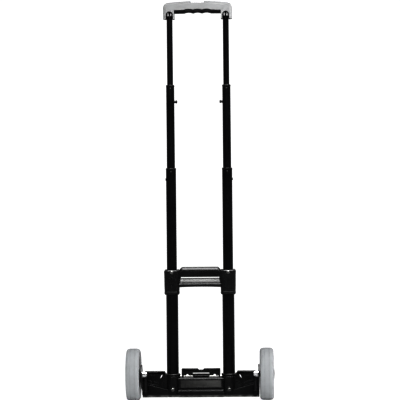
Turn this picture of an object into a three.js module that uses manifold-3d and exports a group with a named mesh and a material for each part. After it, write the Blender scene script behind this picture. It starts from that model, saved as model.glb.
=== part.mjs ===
// Folding two-wheel trolley with a three-section telescoping handle: the running gear of a rolling
// tool box. Units are mm. +X is right, +Y is the toe-plate side, +Z is up. The origin is on the floor,
// midway between the wheels, in the plane of the tubes. It is modelled unfolded and fully extended.
import * as THREE from 'three';
import Module from 'manifold-3d';
import { mergeVertices } from 'three/addons/utils/BufferGeometryUtils.js';

const wasm = await Module();
wasm.setup();

// ---- driving dimensions -------------------------------------------------------------------------
const TUBE_X = 70; // each tube stack stands this far from the middle
const ROUND = 24; // facets on a tube
const SLIDE_GAP = 0.3; // radial gap between a sliding tube and its guide
const SEAT_GAP = 0.1; // gap between pieces of one assembly

// One entry per telescoping section, from the floor up.
const SECTIONS = [
  { radius: 14.5, wall: 1.2, bottom: 8, top: 313 },
  { radius: 12.1, wall: 1.0, bottom: 250, top: 564 },
  { radius: 9.75, wall: 1.0, bottom: 520, top: 771 },
  { radius: 7.0, wall: 1.0, bottom: 725, top: 958 },
];

const WHEEL_R = 63.5;
const WHEEL_W = 33;
const WHEEL_X = 162.7; // middle plane of each wheel
const AXLE_Y = -79;
const AXLE_Z = WHEEL_R;
const AXLE_R = 4;
const PLATE_X = 143.5; // middle plane of each wheel bracket
const PLATE_T = 3;

const BASE_HALF = 144.5;
const BASE_FRONT = 22;
const WING_TOP = 62.5;
const WING_REAR = -8;
const SOCKET_R = 18.8;
const SOCKET_TOP = 57.5;
const LEDGE_TOP = 47;
const SOCKET_SCREW_Z = 18.5;
const SWING_X = 138; // upright hinge of each wheel bracket
const SWING_Y = -32;
const SWING_PIN_R = 2.5;

const TOE_PIN_Y = 28;
const TOE_PIN_Z = 8;
const TOE_PIN_R = 2.5;
const TOE_HALF = 142;
const TOE_FRONT = 258;
const TOE_TOP = 13;
const TOE_SKIN = 3;
const TOE_UNDER = 3; // height of the skirt above the floor

const LATCH_PIN_Y = 6;
const LATCH_PIN_Z = 50.2;
const LATCH_PIN_R = 1.6;
const LATCH_HALF = 48;
const LATCH_TOP = 69;

const SLEEVE_HALF = 19;
const SLEEVE_BOTTOM = 254;
const SLEEVE_TOP = 315;
const BRACKET_SCREW_Z = 309.5;
const BAR_TOP = 322;
const ROD_Z = 288.6;
const ROD_R = 6.3;
const OPENING_TOP = 298;
const OPENING_FOOT = 281.8;

const GRIP_HALF = 85.3;
const GRIP_TOP = 984;
const GRIP_BOTTOM = 940;
const GRIP_DEPTH = 15; // half the front-to-back depth
const LEG_INNER = 58;
const CROWN = 4.2; // the grip's top is this much lower at its shoulders than at its middle
const FINGER_PITCH = 22.4;
const INSERT_HALF = 57.8;
const YOKE_FLOOR = 963.9; // floor of the channel that the release yoke moves in
const BUTTON_TRAVEL = 3;

// ---- shape helpers ------------------------------------------------------------------------------
function solid(geometry) {
  const bare = geometry.clone();
  bare.deleteAttribute('normal');
  bare.deleteAttribute('uv');
  const merged = mergeVertices(bare, 1e-4);
  const vertProperties = new Float32Array(merged.attributes.position.array);
  const triVerts = new Uint32Array(merged.index.array);
  return new wasm.Manifold(new wasm.Mesh({ numProp: 3, vertProperties, triVerts }));
}

function fromSolid(body) {
  const mesh = body.getMesh();
  const geometry = new THREE.BufferGeometry();
  geometry.setAttribute('position', new THREE.BufferAttribute(new Float32Array(mesh.vertProperties), 3));
  geometry.setIndex(new THREE.BufferAttribute(new Uint32Array(mesh.triVerts), 1));
  return geometry;
}

function join(...geometries) {
  return fromSolid(geometries.map(solid).reduce((all, next) => all.add(next)));
}

function cut(geometry, ...tools) {
  return fromSolid(tools.map(solid).reduce((all, next) => all.subtract(next), solid(geometry)));
}

function common(first, second) {
  return fromSolid(solid(first).intersect(solid(second)));
}

// Flips the triangles of a geometry whose faces point inwards.
function outward(geometry) {
  const at = geometry.attributes.position;
  const index = geometry.index.array;
  const [a, b, c] = [new THREE.Vector3(), new THREE.Vector3(), new THREE.Vector3()];
  let volume = 0;
  for (let i = 0; i < index.length; i += 3) {
    a.fromBufferAttribute(at, index[i]);
    b.fromBufferAttribute(at, index[i + 1]);
    c.fromBufferAttribute(at, index[i + 2]);
    volume += a.dot(b.cross(c));
  }
  if (volume < 0) {
    for (let i = 0; i < index.length; i += 3) {
      [index[i], index[i + 1]] = [index[i + 1], index[i]];
    }
  }
  return geometry;
}

function box(x0, x1, y0, y1, z0, z1) {
  const geometry = new THREE.BoxGeometry(x1 - x0, y1 - y0, z1 - z0);
  return geometry.translate((x0 + x1) / 2, (y0 + y1) / 2, (z0 + z1) / 2);
}

// Turns a profile of [radius, height] points about the Z axis. A profile off the axis is closed up.
function turned(profile, segments = ROUND) {
  const points = profile.map(([r, z]) => new THREE.Vector2(r, z));
  if (profile[0][0] > 0) {
    points.push(points[0].clone());
  }
  const geometry = new THREE.LatheGeometry(points, segments).rotateX(Math.PI / 2);
  return outward(mergeVertices(geometry.deleteAttribute('normal').deleteAttribute('uv'), 1e-4));
}

function ring(inner, outer, z0, z1, segments = ROUND) {
  return turned([[inner, z0], [outer, z0], [outer, z1], [inner, z1]], segments);
}

function disc(radius, z0, z1, segments = ROUND) {
  return turned([[0, z0], [radius, z0], [radius, z1], [0, z1]], segments);
}

// Lays a Z-axis geometry along +X or -X, with its z = 0 at the given x.
function alongX(geometry, side, x, y, z) {
  return geometry.rotateY((side * Math.PI) / 2).translate(x, y, z);
}

// Lays a Z-axis geometry along -Y, with its z = 0 at the given y.
function towardRear(geometry, x, y, z) {
  return geometry.rotateX(Math.PI / 2).translate(x, y, z);
}

function outline(points) {
  return new THREE.Shape(points.map(([u, v]) => new THREE.Vector2(u, v)));
}

function roundedRect(u0, u1, v0, v1, radius) {
  const shape = new THREE.Shape();
  shape.moveTo(u0 + radius, v0);
  shape.lineTo(u1 - radius, v0);
  shape.absarc(u1 - radius, v0 + radius, radius, -Math.PI / 2, 0, false);
  shape.lineTo(u1, v1 - radius);
  shape.absarc(u1 - radius, v1 - radius, radius, 0, Math.PI / 2, false);
  shape.lineTo(u0 + radius, v1);
  shape.absarc(u0 + radius, v1 - radius, radius, Math.PI / 2, Math.PI, false);
  shape.lineTo(u0, v0 + radius);
  shape.absarc(u0 + radius, v0 + radius, radius, Math.PI, 1.5 * Math.PI, false);
  return shape;
}

function extrude(shape, depth, curveSegments = 6) {
  return new THREE.ExtrudeGeometry(shape, { depth, bevelEnabled: false, curveSegments });
}

// A shape drawn in (x, y), from z0 up to z1.
function upright(shape, z0, z1, curveSegments) {
  return extrude(shape, z1 - z0, curveSegments).translate(0, 0, z0);
}

// A shape drawn in (x, z), from y0 to y1.
function facing(shape, y0, y1, curveSegments) {
  return extrude(shape, y1 - y0, curveSegments).rotateX(Math.PI / 2).translate(0, y1, 0);
}

// A shape drawn in (y, z), from x0 to x1.
function sideways(shape, x0, x1, curveSegments) {
  const geometry = extrude(shape, x1 - x0, curveSegments);
  return geometry.rotateX(Math.PI / 2).rotateZ(Math.PI / 2).translate(x0, 0, 0);
}

// ---- tubes and what is fixed to them ------------------------------------------------------------
function innerRadius(section) {
  return section.radius - section.wall;
}

// A plain tube, drilled across for a fastener where holes are given as { z, radius, toward }.
function tube(section, side, holes = []) {
  const body = ring(innerRadius(section), section.radius, section.bottom, section.top);
  body.translate(side * TUBE_X, 0, 0);
  const drills = holes.map(({ z, radius, toward }) => {
    const drill = disc(radius, section.radius / 2, section.radius * 1.5, 12);
    if (toward === 'rear') {
      return towardRear(drill, side * TUBE_X, 0, z);
    }
    return alongX(drill, toward, side * TUBE_X, 0, z);
  });
  return drills.length ? cut(body, ...drills) : body;
}

// The moulded plug that caps a tube flush and guides the next one. A snap nub on its rear clicks into
// a hole in the tube.
const COLLAR_FLANGE = 5;
const NUB_R = 2.4;

function nubZ(section) {
  return section.top - 5;
}

function collar(section, next, side) {
  const outer = section.radius + 0.5;
  const guide = next.radius + SLIDE_GAP;
  const bore = innerRadius(section) - SEAT_GAP;
  const inside = section.top - 15;
  const top = section.top + COLLAR_FLANGE;
  const body = turned([
    [guide, inside],
    [bore, inside],
    [bore, section.top + SEAT_GAP],
    [outer, section.top + SEAT_GAP],
    [outer, top - 1],
    [outer - 0.8, top],
    [guide, top],
  ]);
  const nub = towardRear(disc(NUB_R, (guide + bore) / 2, section.radius + 0.9, 12), 0, 0, nubZ(section));
  return join(body, nub).translate(side * TUBE_X, 0, 0);
}

function nubHole(section) {
  return { z: nubZ(section), radius: NUB_R + SEAT_GAP, toward: 'rear' };
}

// The plastic shoe on the lower end of a sliding tube, running in the tube outside it.
function footBushing(section, around, side, through = 0) {
  const flange = innerRadius(around) - SLIDE_GAP;
  const spigot = innerRadius(section) - SEAT_GAP;
  const low = section.bottom - 6;
  const seat = section.bottom - SEAT_GAP;
  const high = section.bottom + 11;
  const outside = [[flange, low], [flange, seat], [spigot, seat], [spigot, high]];
  const profile = [[through, low], ...outside, [through, high]];
  return turned(profile).translate(side * TUBE_X, 0, 0);
}

const STOP_RIVET_Z = 541;
const STOP_RIVET_R = 2;

function stopRivet(side) {
  const section = SECTIONS[1];
  const seat = section.radius + SEAT_GAP;
  const rivet = turned([
    [0, section.radius - section.wall + 0.05],
    [STOP_RIVET_R, section.radius - section.wall + 0.05],
    [STOP_RIVET_R, seat],
    [3.4, seat],
    [2.9, seat + 1.1],
    [0, seat + 1.7],
  ], 12);
  return alongX(rivet, side, side * TUBE_X, 0, STOP_RIVET_Z);
}

const CORD_PEG_Z = 734;
const CORD_PEG_R = 2;

function cordPeg(side) {
  const section = SECTIONS[2];
  const seat = section.radius + SEAT_GAP;
  const peg = turned([
    [0, section.radius - section.wall + 0.05],
    [CORD_PEG_R, section.radius - section.wall + 0.05],
    [CORD_PEG_R, seat],
    [3.4, seat],
    [3, seat + 1.4],
    [3, seat + 4.2],
    [3.9, seat + 5],
    [3.9, seat + 7.3],
    [0, seat + 7.3],
  ], 12);
  return alongX(peg, -side, side * TUBE_X, 0, CORD_PEG_Z);
}

// A pan-head screw facing the rear, its head seated at headY and its shank reaching tipY.
function panScrew(x, z, headY, tipY, headR, shankR) {
  const reach = headY - tipY;
  const recess = disc(headR * 0.28, 1.0, 3.2, 6);
  const screw = turned([
    [0, reach],
    [shankR, reach],
    [shankR, 0],
    [headR, 0],
    [headR, 0.9],
    [headR * 0.7, 2.2],
    [0, 2.4],
  ], 12);
  return towardRear(cut(screw, recess), x, headY, z);
}

// ---- base housing -------------------------------------------------------------------------------
function wing(side) {
  const wall = outline([
    [side * 84, 0],
    [side * BASE_HALF, 0],
    [side * BASE_HALF, WING_TOP],
    [side * 92, WING_TOP],
    [side * 88.5, 56],
    [side * 84, 54],
  ]);
  const leaf = outline([
    [side * 95.4, 55.5],
    [side * 98.6, 53.5],
    [side * 101.6, 46],
    [side * 99.4, 47],
    [side * 96.4, 51],
  ]);
  wall.holes.push(leaf);
  const foot = outline([
    [side * 80, 0],
    [side * BASE_HALF, 0],
    [side * BASE_HALF, 35],
    [side * 86, 19],
    [side * 80, 19],
  ]);
  const gusset = outline([
    [side * 84, 16],
    [side * 106, 24],
    [side * 103, 34],
    [side * 88.5, 55],
    [side * 84, 55],
  ]);
  return join(
    facing(wall, WING_REAR, 14),
    facing(foot, -15, 14),
    facing(gusset, -12, 14),
  );
}

function cellCut(x0, x1, y0, y1, z0, z1, side) {
  return side > 0 ? box(x0, x1, y0, y1, z0, z1) : box(-x1, -x0, y0, y1, z0, z1);
}

function baseHousing() {
  const crossSection = outline([
    [BASE_FRONT, 0],
    [BASE_FRONT, 12],
    [16, 20],
    [16, LEDGE_TOP],
    [-12.5, LEDGE_TOP],
    [-14, LEDGE_TOP - 1.5],
    [-16.5, 21],
    [-15, 19.5],
    [-15, 17.5],
    [-18.5, 15.5],
    [-19, 3],
    [-18, 0],
  ]);
  const lip = box(-BASE_HALF, BASE_HALF, -15, BASE_FRONT, 0, 12);
  const parts = [sideways(crossSection, -58, 58), lip];
  const drills = [];
  for (const side of [-1, 1]) {
    const x = side * TUBE_X;
    parts.push(wing(side));
    parts.push(disc(SOCKET_R, 0, SOCKET_TOP).translate(x, 0, 0));
    parts.push(towardRear(disc(7, 0, 19.6, 14), x, 0, SOCKET_SCREW_Z));
    drills.push(disc(SECTIONS[0].radius + SEAT_GAP, SECTIONS[0].bottom - SEAT_GAP, 70).translate(x, 0, 0));
    drills.push(towardRear(disc(2.3, 10, 25, 12), x, 0, SOCKET_SCREW_Z));
    // Upright hinge lugs of the wheel bracket, above and below its knuckle.
    for (const [z0, z1] of [[8, 16.2], [49.8, 58]]) {
      parts.push(disc(7, z0, z1, 14).translate(side * SWING_X, SWING_Y, 0));
      parts.push(box(side * SWING_X - 6.5, side * SWING_X + 6.5, SWING_Y, WING_REAR + 2, z0, z1));
    }
    drills.push(disc(SWING_PIN_R + SEAT_GAP, 10, 70, 12).translate(side * SWING_X, SWING_Y, 0));
    // The wing is a hollow moulding, open at the toe-plate side, with two stiffening walls.
    for (const [x0, x1, top] of [[107, 123, 57], [126, 141.5, 57]]) {
      drills.push(cellCut(x0, x1, -4, BASE_FRONT + 5, 14, top, side));
    }
    // Lugs for the toe-plate hinge pin.
    for (const lugX of [44, 122]) {
      parts.push(alongX(disc(5, -5, 5, 14), 1, side * lugX, TOE_PIN_Y, TOE_PIN_Z));
      parts.push(box(side * lugX - 5, side * lugX + 5, BASE_FRONT - 1, TOE_PIN_Y, TOE_PIN_Z - 5, TOE_PIN_Z + 4));
    }
  }
  drills.push(alongX(disc(TOE_PIN_R + SEAT_GAP, -127.5, 127.5, 12), 1, 0, TOE_PIN_Y, TOE_PIN_Z));
  drills.push(alongX(disc(LATCH_PIN_R + SEAT_GAP, -55.5, 55.5, 12), 1, 0, LATCH_PIN_Y, LATCH_PIN_Z));
  return cut(join(...parts), ...drills);
}

function swingPin(side) {
  const pin = turned([
    [0, 10.2],
    [SWING_PIN_R, 10.2],
    [SWING_PIN_R, 58.2],
    [4.5, 58.2],
    [4.5, 60.6],
    [0, 60.6],
  ], 12);
  return pin.translate(side * SWING_X, SWING_Y, 0);
}

// ---- toe plate ----------------------------------------------------------------------------------
function toeOutline() {
  const shape = new THREE.Shape();
  const radius = 26;
  const rear = TOE_PIN_Y + 7;
  shape.moveTo(-TOE_HALF, rear);
  shape.lineTo(TOE_HALF, rear);
  shape.lineTo(TOE_HALF, TOE_FRONT - radius);
  shape.absarc(TOE_HALF - radius, TOE_FRONT - radius, radius, 0, Math.PI / 2, false);
  shape.lineTo(-TOE_HALF + radius, TOE_FRONT);
  shape.absarc(-TOE_HALF + radius, TOE_FRONT - radius, radius, Math.PI / 2, Math.PI, false);
  return shape;
}

// A tray turned upside down: a flat skin with a skirt and stiffening ribs beneath it.
function toePlate() {
  const slab = upright(toeOutline(), TOE_UNDER, TOE_TOP, 8);
  const cells = [];
  const columns = [-138.5, -73, -70, -2, 2, 70, 73, 138.5];
  const rows = [39, 92, 95, 148, 151, 202, 205, 229];
  for (let i = 0; i < columns.length; i += 2) {
    for (let j = 0; j < rows.length; j += 2) {
      cells.push(box(columns[i], columns[i + 1], rows[j], rows[j + 1], TOE_UNDER - 1, TOE_TOP - TOE_SKIN));
    }
  }
  const parts = [slab];
  for (const side of [-1, 1]) {
    for (const [x0, x1] of [[12, 38], [50, 90], [96, 116]]) {
      const middle = (side * (x0 + x1)) / 2;
      const half = (x1 - x0) / 2;
      parts.push(alongX(disc(5, -half, half, 14), 1, middle, TOE_PIN_Y, TOE_PIN_Z));
      parts.push(box(middle - half, middle + half, TOE_PIN_Y, TOE_PIN_Y + 8, TOE_PIN_Z - 5, TOE_PIN_Z + 5));
    }
  }
  const bore = alongX(disc(TOE_PIN_R + SLIDE_GAP, -130, 130, 12), 1, 0, TOE_PIN_Y, TOE_PIN_Z);
  const latchSlot = box(-13, 13, TOE_PIN_Y + 49, TOE_PIN_Y + 59, TOE_UNDER - 1, TOE_TOP + 1);
  const hand = upright(roundedRect(-38, 38, 212, 228, 8), TOE_UNDER - 1, TOE_TOP + 1);
  const handWall = upright(roundedRect(-41, 41, 209, 231, 11), TOE_UNDER, TOE_TOP);
  const hollow = cut(join(...parts), ...cells);
  return cut(join(hollow, handWall), bore, latchSlot, hand);
}

function toeFoot(side) {
  const foot = turned([[0, 0], [8, 0], [9, 2.9], [4, 2.9], [4, 6], [0, 6]], 16);
  return foot.translate(side * 100, 217, 0);
}

function toeFootBoss(side) {
  const boss = disc(9, TOE_UNDER, TOE_TOP - 1, 20).translate(side * 100, 217, 0);
  return cut(boss, disc(4.1, TOE_UNDER - 1, 6.2, 20).translate(side * 100, 217, 0));
}

function toePlateWithFeet() {
  const pockets = [-1, 1].map((side) => disc(4.1, TOE_UNDER - 1, 6.2, 20).translate(side * 100, 217, 0));
  return cut(join(toePlate(), toeFootBoss(-1), toeFootBoss(1)), ...pockets);
}

// ---- latch --------------------------------------------------------------------------------------
function latch() {
  const knuckle = 20; // half width of the middle knuckle
  const endKnuckle = 44; // inner face of the knuckle at each end
  const under = LATCH_PIN_Z + 2.2;
  const flap = outline([
    [-LATCH_HALF, LATCH_PIN_Z],
    [-endKnuckle, LATCH_PIN_Z],
    [-endKnuckle, under],
    [-knuckle, under],
    [-knuckle, LATCH_PIN_Z],
    [knuckle, LATCH_PIN_Z],
    [knuckle, under],
    [endKnuckle, under],
    [endKnuckle, LATCH_PIN_Z],
    [LATCH_HALF, LATCH_PIN_Z],
    [LATCH_HALF, LATCH_TOP - 2],
    [LATCH_HALF - 2, LATCH_TOP],
    [8, LATCH_TOP],
    [5, LATCH_TOP - 4],
    [-5, LATCH_TOP - 4],
    [-8, LATCH_TOP],
    [-LATCH_HALF + 2, LATCH_TOP],
    [-LATCH_HALF, LATCH_TOP - 2],
  ]);
  const plate = facing(flap, LATCH_PIN_Y - 2.5, LATCH_PIN_Y + 2.5);
  const knuckles = [[-LATCH_HALF, -endKnuckle], [-knuckle, knuckle], [endKnuckle, LATCH_HALF]].map(([x0, x1]) => (
    alongX(disc(3.1, x0, x1, 14), 1, 0, LATCH_PIN_Y, LATCH_PIN_Z)
  ));
  const tongue = box(-10, 10, LATCH_PIN_Y + 1, 26, 60, 64);
  const fingerLip = box(-40, 40, LATCH_PIN_Y - 5.5, LATCH_PIN_Y - 1, 66.5, LATCH_TOP - 0.5);
  const slot = box(-21, 21, LATCH_PIN_Y - 5, LATCH_PIN_Y + 5, 56, 58.6);
  const notch = box(-6.5, 6.5, LATCH_PIN_Y - 10, LATCH_PIN_Y + 5, LATCH_TOP - 4, LATCH_TOP + 2);
  const arches = [-1, 1].map((side) => (
    towardRear(disc(3.6, -8, 8, 16), side * 34, LATCH_PIN_Y, LATCH_PIN_Z + 1.6)
  ));
  const bore = alongX(disc(LATCH_PIN_R + SLIDE_GAP, -60, 60, 12), 1, 0, LATCH_PIN_Y, LATCH_PIN_Z);
  return cut(join(plate, ...knuckles, tongue, fingerLip), slot, notch, ...arches, bore);
}

// ---- wheels and their brackets ------------------------------------------------------------------
const KNUCKLE_Z = [16.5, 49.5];
const PLATE_R = 24;

function wheelBracket(side) {
  const shape = new THREE.Shape();
  shape.moveTo(SWING_Y + 4, KNUCKLE_Z[0]);
  shape.lineTo(SWING_Y + 4, KNUCKLE_Z[1]);
  shape.lineTo(SWING_Y - 9, KNUCKLE_Z[1]);
  shape.absarc(AXLE_Y, AXLE_Z, PLATE_R, Math.PI * 0.3, Math.PI * 1.32, false);
  const plate = sideways(shape, -PLATE_T / 2, PLATE_T / 2, 20).translate(side * PLATE_X, 0, 0);
  const knuckle = disc(6, KNUCKLE_Z[0], KNUCKLE_Z[1], 20).translate(side * SWING_X, SWING_Y, 0);
  const bore = disc(SWING_PIN_R + SLIDE_GAP, 0, 70, 12).translate(side * SWING_X, SWING_Y, 0);
  const axleHole = alongX(disc(AXLE_R + SEAT_GAP, -10, 10, 16), 1, side * PLATE_X, AXLE_Y, AXLE_Z);
  return cut(join(plate, knuckle), bore, axleHole);
}

// Distances below run outwards from the middle plane of the trolley.
const NUT_FACE = PLATE_X - PLATE_T / 2 - SEAT_GAP;
const HUB_INNER = WHEEL_X - WHEEL_W / 2 + 1.5;
const HUB_OUTER = WHEEL_X + WHEEL_W / 2 - 5;

function axleBolt(side) {
  const bolt = turned([
    [0, NUT_FACE - 9],
    [AXLE_R, NUT_FACE - 9],
    [AXLE_R, HUB_OUTER + 0.3],
    [7, HUB_OUTER + 0.3],
    [7, HUB_OUTER + 3.6],
    [6, HUB_OUTER + 4.4],
    [0, HUB_OUTER + 4.4],
  ], 16);
  return alongX(bolt, side, 0, AXLE_Y, AXLE_Z);
}

function acornNut(side) {
  const hex = disc(8, NUT_FACE - 7, NUT_FACE, 6);
  const dome = turned([
    [0, NUT_FACE - 13],
    [4, NUT_FACE - 11.8],
    [6.2, NUT_FACE - 9],
    [6.6, NUT_FACE - 3],
    [0, NUT_FACE - 3],
  ], 16);
  const thread = disc(AXLE_R + SEAT_GAP, NUT_FACE - 9.5, NUT_FACE + 1, 16);
  return alongX(cut(join(hex, dome), thread), side, 0, AXLE_Y, AXLE_Z);
}

function axleSpacer(side) {
  const from = PLATE_X + PLATE_T / 2 + SEAT_GAP;
  return alongX(ring(AXLE_R + 0.2, 7, from, HUB_INNER - 0.3, 16), side, 0, AXLE_Y, AXLE_Z);
}

const RIM_R = 46;
const RIM_ROUND = 36; // facets on the rim and the tyre that sits on it

function tyre(side) {
  const half = WHEEL_W / 2;
  const profile = turned([
    [RIM_R + SEAT_GAP, -half + 1],
    [WHEEL_R - 7, -half],
    [WHEEL_R - 1.8, -half + 2.5],
    [WHEEL_R, -half + 9],
    [WHEEL_R, half - 9],
    [WHEEL_R - 1.8, half - 2.5],
    [WHEEL_R - 7, half],
    [RIM_R + SEAT_GAP, half - 1],
  ], RIM_ROUND);
  return alongX(profile, side, side * WHEEL_X, AXLE_Y, AXLE_Z);
}

function wheelHub(side) {
  const half = WHEEL_W / 2;
  const bore = AXLE_R + SLIDE_GAP;
  const body = turned([
    [bore, HUB_INNER - WHEEL_X],
    [13, HUB_INNER - WHEEL_X],
    [14, -6],
    [RIM_R - 4, -6],
    [RIM_R - 4, -half + 1],
    [RIM_R, -half + 1],
    [RIM_R, half - 1],
    [RIM_R - 4, half - 1],
    [RIM_R - 4, 3],
    [24, 3],
    [22, HUB_OUTER - WHEEL_X + 2],
    [20, HUB_OUTER - WHEEL_X + 2],
    [20, HUB_OUTER - WHEEL_X],
    [bore, HUB_OUTER - WHEEL_X],
  ], RIM_ROUND);
  const windows = [];
  for (let i = 0; i < 5; i += 1) {
    const angle = (i * 2 * Math.PI) / 5;
    windows.push(disc(7, -10, 10, 10).translate(33 * Math.cos(angle), 33 * Math.sin(angle), 0));
  }
  return alongX(cut(body, ...windows), side, side * WHEEL_X, AXLE_Y, AXLE_Z);
}

function hubCap(side) {
  const seat = HUB_OUTER + 0.2;
  const cap = turned([
    [8.5, seat],
    [19.8, seat],
    [19.8, seat + 2.2],
    [21.5, seat + 2.2],
    [20.5, seat + 4.3],
    [12, seat + 6.6],
    [0, seat + 7.2],
    [0, seat + 5.2],
    [8.5, seat + 5.2],
  ], 24);
  return alongX(cap, side, 0, AXLE_Y, AXLE_Z);
}

// ---- carry bracket ------------------------------------------------------------------------------
function sleeve(side) {
  const x = side * TUBE_X;
  const block = upright(roundedRect(x - SLEEVE_HALF, x + SLEEVE_HALF, -SLEEVE_HALF, SLEEVE_HALF, 11), SLEEVE_BOTTOM, SLEEVE_TOP + 2);
  const envelope = facing(outline([
    [x - 15.5, SLEEVE_BOTTOM],
    [x + 15.5, SLEEVE_BOTTOM],
    [x + SLEEVE_HALF, SLEEVE_BOTTOM + 4],
    [x + SLEEVE_HALF, SLEEVE_TOP],
    [x + SLEEVE_HALF - 3.5, SLEEVE_TOP + 1.5],
    [x + 12, SLEEVE_TOP - 0.5],
    [x - 12, SLEEVE_TOP - 0.5],
    [x - SLEEVE_HALF + 3.5, SLEEVE_TOP + 1.5],
    [x - SLEEVE_HALF, SLEEVE_TOP],
    [x - SLEEVE_HALF, SLEEVE_BOTTOM + 4],
  ]), -30, 30);
  return common(block, envelope);
}

function carryBracket() {
  const barSection = roundedRect(-14, 14, 272.5, BAR_TOP, 9);
  const front = outline([
    [-60, 272.5],
    [60, 272.5],
    [60, 309],
    [53, 313],
    [47, BAR_TOP],
    [-47, BAR_TOP],
    [-53, 313],
    [-60, 309],
  ]);
  const opening = outline([
    [-51.5, OPENING_FOOT],
    [51.5, OPENING_FOOT],
    [48.5, 290],
    [48.5, OPENING_TOP],
    [-48.5, OPENING_TOP],
    [-48.5, 290],
  ]);
  front.holes.push(opening);
  // The bars are cut back round the opening, so that the rod stands free.
  const relief = (side) => sideways(outline([
    [side * 9, OPENING_TOP + 0.5],
    [side * 9, OPENING_FOOT - 0.3],
    [side * 15, OPENING_FOOT - 6.3],
    [side * 15, OPENING_TOP + 4],
  ]), -48.5, 48.5);
  const bars = cut(common(sideways(barSection, -60, 60), facing(front, -20, 20)), relief(-1), relief(1));
  const drills = [alongX(disc(ROD_R + SEAT_GAP, -54.8, 54.8, 24), 1, 0, 0, ROD_Z)];
  for (const side of [-1, 1]) {
    const x = side * TUBE_X;
    const seat = SECTIONS[0].top + SEAT_GAP;
    drills.push(disc(SECTIONS[0].radius + SEAT_GAP, SLEEVE_BOTTOM - 5, seat).translate(x, 0, 0));
    drills.push(disc(SECTIONS[1].radius + SLIDE_GAP, seat - 5, BAR_TOP).translate(x, 0, 0));
    drills.push(towardRear(disc(2.3, 10, 25, 12), x, 0, BRACKET_SCREW_Z));
    // Shallow upright flutes on the rear of the sleeve.
    for (const offset of [-8, 0, 8]) {
      drills.push(box(x + offset - 1, x + offset + 1, -20, -18.4, SLEEVE_BOTTOM + 8, BRACKET_SCREW_Z - 9));
    }
  }
  return cut(join(bars, sleeve(-1), sleeve(1)), ...drills);
}

function crossRod() {
  return alongX(turned([
    [0, -54.6],
    [ROD_R, -54.6],
    [ROD_R, 54.6],
    [0, 54.6],
  ], 24), 1, 0, 0, ROD_Z);
}

// ---- grip and release ---------------------------------------------------------------------------
const WINDOW_HALF = 8.6; // arched opening in each leg of the grip
const WINDOW_TOP = 958;

function archShape(x, half, bottom, top) {
  const shape = new THREE.Shape();
  shape.moveTo(x - half, bottom);
  shape.lineTo(x + half, bottom);
  shape.lineTo(x + half, top - half);
  shape.absarc(x, top - half, half, 0, Math.PI, false);
  return shape;
}

// Draws a wavy edge from -half to half: a flat stretch at each end and three finger arches between.
function fingerCurve(shape, half, endZ, cuspZ, rise) {
  shape.lineTo(-half, endZ);
  for (let i = 0; i < 3; i += 1) {
    const start = (i - 1.5) * FINGER_PITCH;
    shape.lineTo(start, cuspZ);
    shape.quadraticCurveTo(start + FINGER_PITCH / 2, cuspZ + 2 * rise, start + FINGER_PITCH, cuspZ);
  }
  shape.lineTo(half, endZ);
}

function gripOutline() {
  const shape = new THREE.Shape();
  const corner = 13;
  const shoulder = GRIP_TOP - CROWN;
  shape.moveTo(-GRIP_HALF, GRIP_BOTTOM + 2);
  shape.lineTo(-GRIP_HALF + 2, GRIP_BOTTOM);
  shape.lineTo(-LEG_INNER - 2, GRIP_BOTTOM);
  shape.lineTo(-LEG_INNER, GRIP_BOTTOM + 2);
  fingerCurve(shape, LEG_INNER, 960.8 + SEAT_GAP, 961.6 + SEAT_GAP, 2.1);
  shape.lineTo(LEG_INNER, GRIP_BOTTOM + 2);
  shape.lineTo(LEG_INNER + 2, GRIP_BOTTOM);
  shape.lineTo(GRIP_HALF - 2, GRIP_BOTTOM);
  shape.lineTo(GRIP_HALF, GRIP_BOTTOM + 2);
  shape.lineTo(GRIP_HALF, shoulder - corner);
  shape.absarc(GRIP_HALF - corner, shoulder - corner, corner, 0, Math.PI / 2, false);
  shape.quadraticCurveTo(0, GRIP_TOP + CROWN, -GRIP_HALF + corner, shoulder);
  shape.absarc(-GRIP_HALF + corner, shoulder - corner, corner, Math.PI / 2, Math.PI, false);
  return shape;
}

function gripBody() {
  const section = roundedRect(-GRIP_DEPTH, GRIP_DEPTH, GRIP_BOTTOM - 8, GRIP_TOP + 0.5, 8);
  const body = common(facing(gripOutline(), -20, 20, 8), sideways(section, -90, 90, 5));
  const tools = [
    box(-77, 77, -5, 5, YOKE_FLOOR, 974.5), // channel for the release yoke
    box(-34, 34, -5, 5, YOKE_FLOOR - 1.2, YOKE_FLOOR + 1), // opens the channel towards the insert
    box(-15.3, 15.3, -8.3, 8.3, 969.6, 990), // hole for the button
    box(-15.6, 15.6, -20, 20, 979, 990), // thumb recess
  ];
  for (const side of [-1, 1]) {
    const x = side * TUBE_X;
    tools.push(disc(SECTIONS[3].radius + SEAT_GAP, GRIP_BOTTOM - 5, SECTIONS[3].top + SEAT_GAP).translate(x, 0, 0));
    tools.push(box(x - 5, x + 5, -5, 5, SECTIONS[3].top - 1, YOKE_FLOOR + 1));
    tools.push(facing(archShape(x, WINDOW_HALF, GRIP_BOTTOM - 5, WINDOW_TOP), -20, 20, 10));
  }
  return cut(body, ...tools);
}

// A black liner in the arched opening of the grip's leg, holding the top tube.
function ferrule(side) {
  const x = side * TUBE_X;
  const half = WINDOW_HALF - SEAT_GAP;
  const block = facing(archShape(x, half, GRIP_BOTTOM, WINDOW_TOP - SEAT_GAP), -13.5, 13.5, 10);
  const bore = disc(SECTIONS[3].radius + SEAT_GAP, GRIP_BOTTOM - 5, WINDOW_TOP + 5).translate(x, 0, 0);
  const window = facing(archShape(x, 6.7, GRIP_BOTTOM - 5, WINDOW_TOP - 2.4), -20, 20, 8);
  return cut(block, bore, window);
}

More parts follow.
